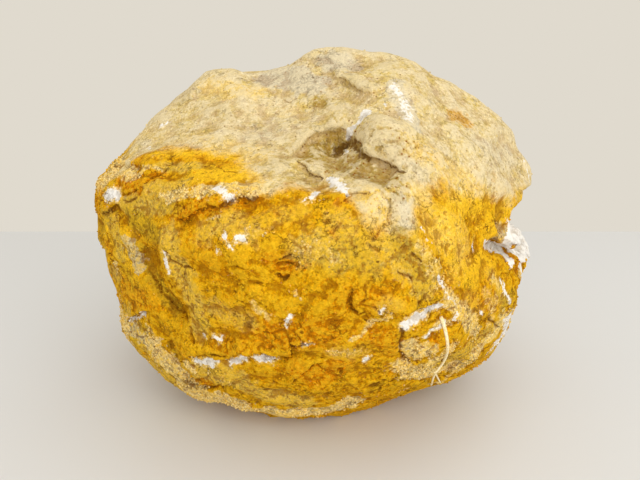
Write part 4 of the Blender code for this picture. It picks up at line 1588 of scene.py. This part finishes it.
# %% [markdown]
# ### Quartz and cracks
#
# The white quartz and the dark of the cracks, most of it painted shade, hide everything under them, so they
# come last. Noise as strong as the paint frays both, because neither has a clean edge on the stone.

# %% Bared quartz and painted cracks
GREY_COVERS, CRACK_COVERS = 0.75, 0.8
WHITE_FRAYS_SMALL, WHITE_FRAYS_PATCHY = 1.7, 1.1
DARK_SHARE, DARK_FRAYS_SMALL, DARK_FRAYS_GRAIN = 0.9, 1.4, 0.8

frayed = fields["white"] + (small - 0.5) * WHITE_FRAYS_SMALL + (patchy - 0.5) * WHITE_FRAYS_PATCHY
white_mask = frayed.above(0.56, 0.2)
# Quartz goes grey with the middle noise, its own tone, and in the hollows, which is painted shade.
white = rind.mix(QUARTZ, QUARTZ_GREY, mask({"middle": 0.6, "hollow": 0.5}, 0.62, 0.16) * GREY_COVERS)
tint = rind.mix(tint, white, white_mask)
# Painted shade in the cracks, the pit and under overhangs, and the rock's own dark specks.
frayed = fields["dark"] * DARK_SHARE + (small - 0.5) * DARK_FRAYS_SMALL + (grain - 0.5) * DARK_FRAYS_GRAIN
dark_mask = frayed.above(0.5, 0.22)
tint = rind.mix(tint, CRACK_SHADE_AND_SPECK, dark_mask * CRACK_COVERS)
print("nodes so far:", len(rind.tree.nodes))

# %% [markdown]
# ### Gloss and the last relief
#
# Limestone and iron stain are dull, and broken quartz has a faint sheen. The relief that is finer than the
# net, such as grains and pinholes, is a bump: in the mesh it would need millions of triangles.

# %% Roughness, bump and shader
ROUGHNESS_ROCK, ROUGHNESS_QUARTZ = 0.9, 0.5
ROCK_GLOSS = 0.06
BUMP_DEPTH, BUMP_STRENGTH = 0.9 * MM, 0.9
# What the bump is made of, and how much of it: it rises, or sinks where the number is below zero.
RELIEF = [
    (grain, 0.5), (small, 0.55), (patchy, 0.35), (fleck, 1.1), (grains, 0.2),
    (pinholes, -0.5), (hair_line, -0.3), (crackle_line, -0.35), (dark_mask, -0.4),
]

roughness = ROUGHNESS_ROCK - white_mask * (ROUGHNESS_ROCK - ROUGHNESS_QUARTZ)
first, *rest = [field * share for field, share in RELIEF]
bump_sockets = {"Strength": BUMP_STRENGTH, "Distance": BUMP_DEPTH, "Height": sum(rest, first)}
bump = rind.add("ShaderNodeBump", {}, bump_sockets)
rind.finish(Base_Color=tint, Roughness=roughness, Normal=bump, Specular_IOR_Level=ROCK_GLOSS)

skin.data.materials.clear()
skin.data.materials.append(rind.material)
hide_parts("geode")
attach(skin, "root")
print("rind:", len(rind.tree.nodes), "nodes")

# %% [markdown]
# ## Grit
#
# Grains of the crust stand on the skin as separate crumbs, too small for the net. Instances on the points
# could do it. Here one crumb, an icosphere, is copied thousands of times into one mesh, each copy with its
# points pushed about, turned, squashed, and half sunk into the skin, because then each can take the paint
# of the place that it sits on, and so match it.

# %% Crumbs
GRIT_SEED = 21
GRIT_COUNT = 8500
GRIT_RADIUS = (0.3, 0.85)
GRIT_SQUASH, GRIT_KNOCKS, GRIT_STANDS = (0.6, 1.25), (0.78, 1.15), 0.2
GRIT_LEAST, GRIT_PATCH = 0.02, 18
# How much of the grit is paler than its place, and by how much.
PALE_SHARE, PALE_MORE = 0.35, 0.35
GRIT_HOLLOW, GRIT_DARK = 0.42, 0.3

crumb = bmesh.new()
bmesh.ops.create_icosphere(crumb, subdivisions=1, radius=1)
shape_points = np.array([point.co for point in crumb.verts])
shape_faces = np.array([[point.index for point in face.verts] for face in crumb.faces])
crumb.free()

scatter = np.random.default_rng(GRIT_SEED)
want = 0.25 + paint["cream"] * 1.6 + paint["rust"] * 0.25 - paint["cap"] ** 2 * 0.35 - paint["white"]
want = np.clip(want, GRIT_LEAST, None)
want *= np.clip(painter.rough(GRIT_PATCH, 2, seed=31.0) + 0.55, GRIT_LEAST, None) ** 2
hosts = scatter.choice(len(want), GRIT_COUNT, p=want / want.sum())
sizes = scatter.uniform(*GRIT_RADIUS, GRIT_COUNT) * MM

points = np.empty((GRIT_COUNT, len(shape_points), 3))
for number, (host, size) in enumerate(zip(hosts, sizes)):
    turn, _ = np.linalg.qr(scatter.normal(size=(3, 3)))
    squash = scatter.uniform(*GRIT_SQUASH, 3)
    knocks = scatter.uniform(*GRIT_KNOCKS, (len(shape_points), 1))
    turned = (shape_points * knocks * squash * size) @ turn.T
    points[number] = turned + painter.at[host] + painter.out[host] * size * GRIT_STANDS
points[..., 2] = np.maximum(points[..., 2], 0)
faces = (shape_faces[None] + np.arange(GRIT_COUNT)[:, None, None] * len(shape_points)).reshape(-1, 3)
grit_mesh = bpy.data.meshes.new("geode_grit")
grit_mesh.from_pydata(points.reshape(-1, 3), [], faces)
grit_maps = {tone: np.repeat(paint[tone][hosts], len(shape_points)) for tone in TONES}
lighter = np.repeat((scatter.random(GRIT_COUNT) < PALE_SHARE) * PALE_MORE, len(shape_points))
grit_maps["cream"] = np.clip(grit_maps["cream"] + lighter, 0, 1)
# The grit counts as a little raised, so the painted shade of the hollows stays off it.
grit_maps["hollow"] = np.full(len(lighter), GRIT_HOLLOW)
grit_maps["dark"] *= GRIT_DARK
store_paint(grit_mesh, grit_maps)
grit_mesh.materials.append(rind.material)
grit = bpy.data.objects.new("geode_grit", grit_mesh)
bpy.context.scene.collection.objects.link(grit)
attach(grit, "root")
print("grit:", len(grit_mesh.polygons), "triangles")

# %% [markdown]
# ## The rootlet
#
# A dried rootlet clings to the lower right, forked near its tip. It could be a tube of rings, bridged one by
# one. A curve with a bevel is quicker, and thins toward its end by a radius at each point. It is laid over
# the carved skin and then turned to a mesh, so that it stays put.

# %% Rootlet
# Name: (pixels, radius in mm at the start and at the end).
ROOT_STRANDS = {
    "stem": (
        [
            (440, 316), (443, 325), (445, 333), (447, 342), (447, 350), (445, 357), (440, 365), (434, 372),
            (432, 378), (431, 384),
        ],
        (0.95, 0.65),
    ),
    "fork": ([(434, 371), (437, 377), (440, 382)], (0.6, 0.4)),
}
ROOT_SUNK = 0.9


def root_strand(name, pixels, radii):
    """A round strand over the skin, thinner toward its end."""
    curve = bpy.data.curves.new(name, "CURVE")
    curve.dimensions = "3D"
    curve.bevel_depth = 1.0
    curve.bevel_resolution = 2
    curve.use_fill_caps = True
    curve.resolution_u = 6
    strand = curve.splines.new("NURBS")
    strand.points.add(len(pixels) - 1)
    strand.use_endpoint_u = True
    strand.order_u = 4
    for number, pixel in enumerate(pixels):
        place, facing, *_ = stone_tree.ray_cast(camera.location, sight(pixel))
        share = number / (len(pixels) - 1)
        radius = (radii[0] * (1 - share) + radii[1] * share) * MM
        strand.points[number].co = (*(place + facing * radius * ROOT_SUNK), 1)
        strand.points[number].radius = radius
    holder = bpy.data.objects.new(name, curve)
    bpy.context.scene.collection.objects.link(holder)
    mesh = bpy.data.meshes.new_from_object(
        holder.evaluated_get(bpy.context.evaluated_depsgraph_get())
    )
    bpy.data.objects.remove(holder)
    return mesh


joined = bmesh.new()
for name, (pixels, radii) in ROOT_STRANDS.items():
    joined.from_mesh(root_strand(name, pixels, radii))
bmesh.ops.remove_doubles(joined, verts=joined.verts, dist=SAME_POINT)
bmesh.ops.recalc_face_normals(joined, faces=joined.faces)
root_mesh = bpy.data.meshes.new("rootlet")
joined.to_mesh(root_mesh)
joined.free()
for face in root_mesh.polygons:
    face.use_smooth = True
rootlet = bpy.data.objects.new("rootlet", root_mesh)
bpy.context.scene.collection.objects.link(rootlet)

ROOT_TAN, ROOT_PALE = colour(242, 218, 160), colour(255, 246, 212)
ROOT_ROUGHNESS, ROOT_GLOSS = 0.8, 0.2
FIBRE_DEPTH, FIBRE_STRENGTH = 0.3 * MM, 0.6

bark = Bench("dried_root")
fibre = bark.noise(1.2, 3, 0.6)
bark_tint = bark.mix(ROOT_TAN, ROOT_PALE, fibre.above(0.5, 0.15))
bump_sockets = {"Strength": FIBRE_STRENGTH, "Distance": FIBRE_DEPTH, "Height": fibre}
bark_bump = bark.add("ShaderNodeBump", {}, bump_sockets)
bark.finish(
    Base_Color=bark_tint, Roughness=ROOT_ROUGHNESS, Normal=bark_bump, Specular_IOR_Level=ROOT_GLOSS
)
root_mesh.materials.append(bark.material)
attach(rootlet, "root")
print("rootlet:", len(root_mesh.polygons), "faces")

# %% [markdown]
# ## Floor and light
#
# The stone stands on a pale, smooth floor, in soft light from above. A sheet curved up behind it could give
# the pale background. The world's colour gives it here, so the stone can be looked at from any side, and
# the floor ends where the background begins. One wide lamp overhead gives the soft shadow, and two in
# front, about as wide, light the face that the photograph shows.

# %% Floor
FLOOR_LEFT, FLOOR_RIGHT = -1.4, 1.4
FLOOR_FRONT, FLOOR_BACK = -1.4, 0.322
FLOOR_GREY, FLOOR_ROUGHNESS = colour(219, 221, 224), 0.5

ground = bmesh.new()
bmesh.ops.create_grid(ground, x_segments=1, y_segments=1, size=0.5)
bmesh.ops.scale(ground, vec=(FLOOR_RIGHT - FLOOR_LEFT, FLOOR_BACK - FLOOR_FRONT, 1), verts=ground.verts)
bmesh.ops.translate(ground, vec=(0, (FLOOR_BACK + FLOOR_FRONT) / 2, 0), verts=ground.verts)
floor_mesh = bpy.data.meshes.new("floor")
ground.to_mesh(floor_mesh)
ground.free()
floor = bpy.data.objects.new("floor", floor_mesh)
bpy.context.scene.collection.objects.link(floor)

paintwork = Bench("pale_floor")
paintwork.finish(Base_Color=FLOOR_GREY, Roughness=FLOOR_ROUGHNESS)
floor_mesh.materials.append(paintwork.material)
print("floor, m:", FLOOR_RIGHT - FLOOR_LEFT, "wide,", FLOOR_BACK - FLOOR_FRONT, "deep")

# %% Light
BACKGROUND = colour(224, 218, 206)
ROOM_STRENGTH = 1.0
LAMP_COLOUR = (1.0, 0.985, 0.955)
# Name: (place in m, width in m, watts).
LAMPS = {
    "overhead": ((0.3, -0.3, 1.5), 1.5, 5),
    "front, right": ((0.9, -1.4, 1.0), 1.4, 11),
    "front, low": ((-0.1, -1.6, 0.5), 1.4, 8.5),
}

room = bpy.data.worlds.new("room")
room.use_nodes = True
room.node_tree.nodes["Background"].inputs["Color"].default_value = BACKGROUND
room.node_tree.nodes["Background"].inputs["Strength"].default_value = ROOM_STRENGTH
bpy.context.scene.world = room

for name, (place, width, watts) in LAMPS.items():
    lamp = bpy.data.lights.new(name, "AREA")
    lamp.size, lamp.energy = width, watts
    lamp.color = LAMP_COLOUR
    holder = bpy.data.objects.new(name, lamp)
    holder.location = place
    holder.rotation_euler = (Vector(place) - HEART).to_track_quat("Z", "Y").to_euler()
    bpy.context.scene.collection.objects.link(holder)
bpy.context.scene.view_settings.view_transform = "Standard"
print("lamps:", list(LAMPS))
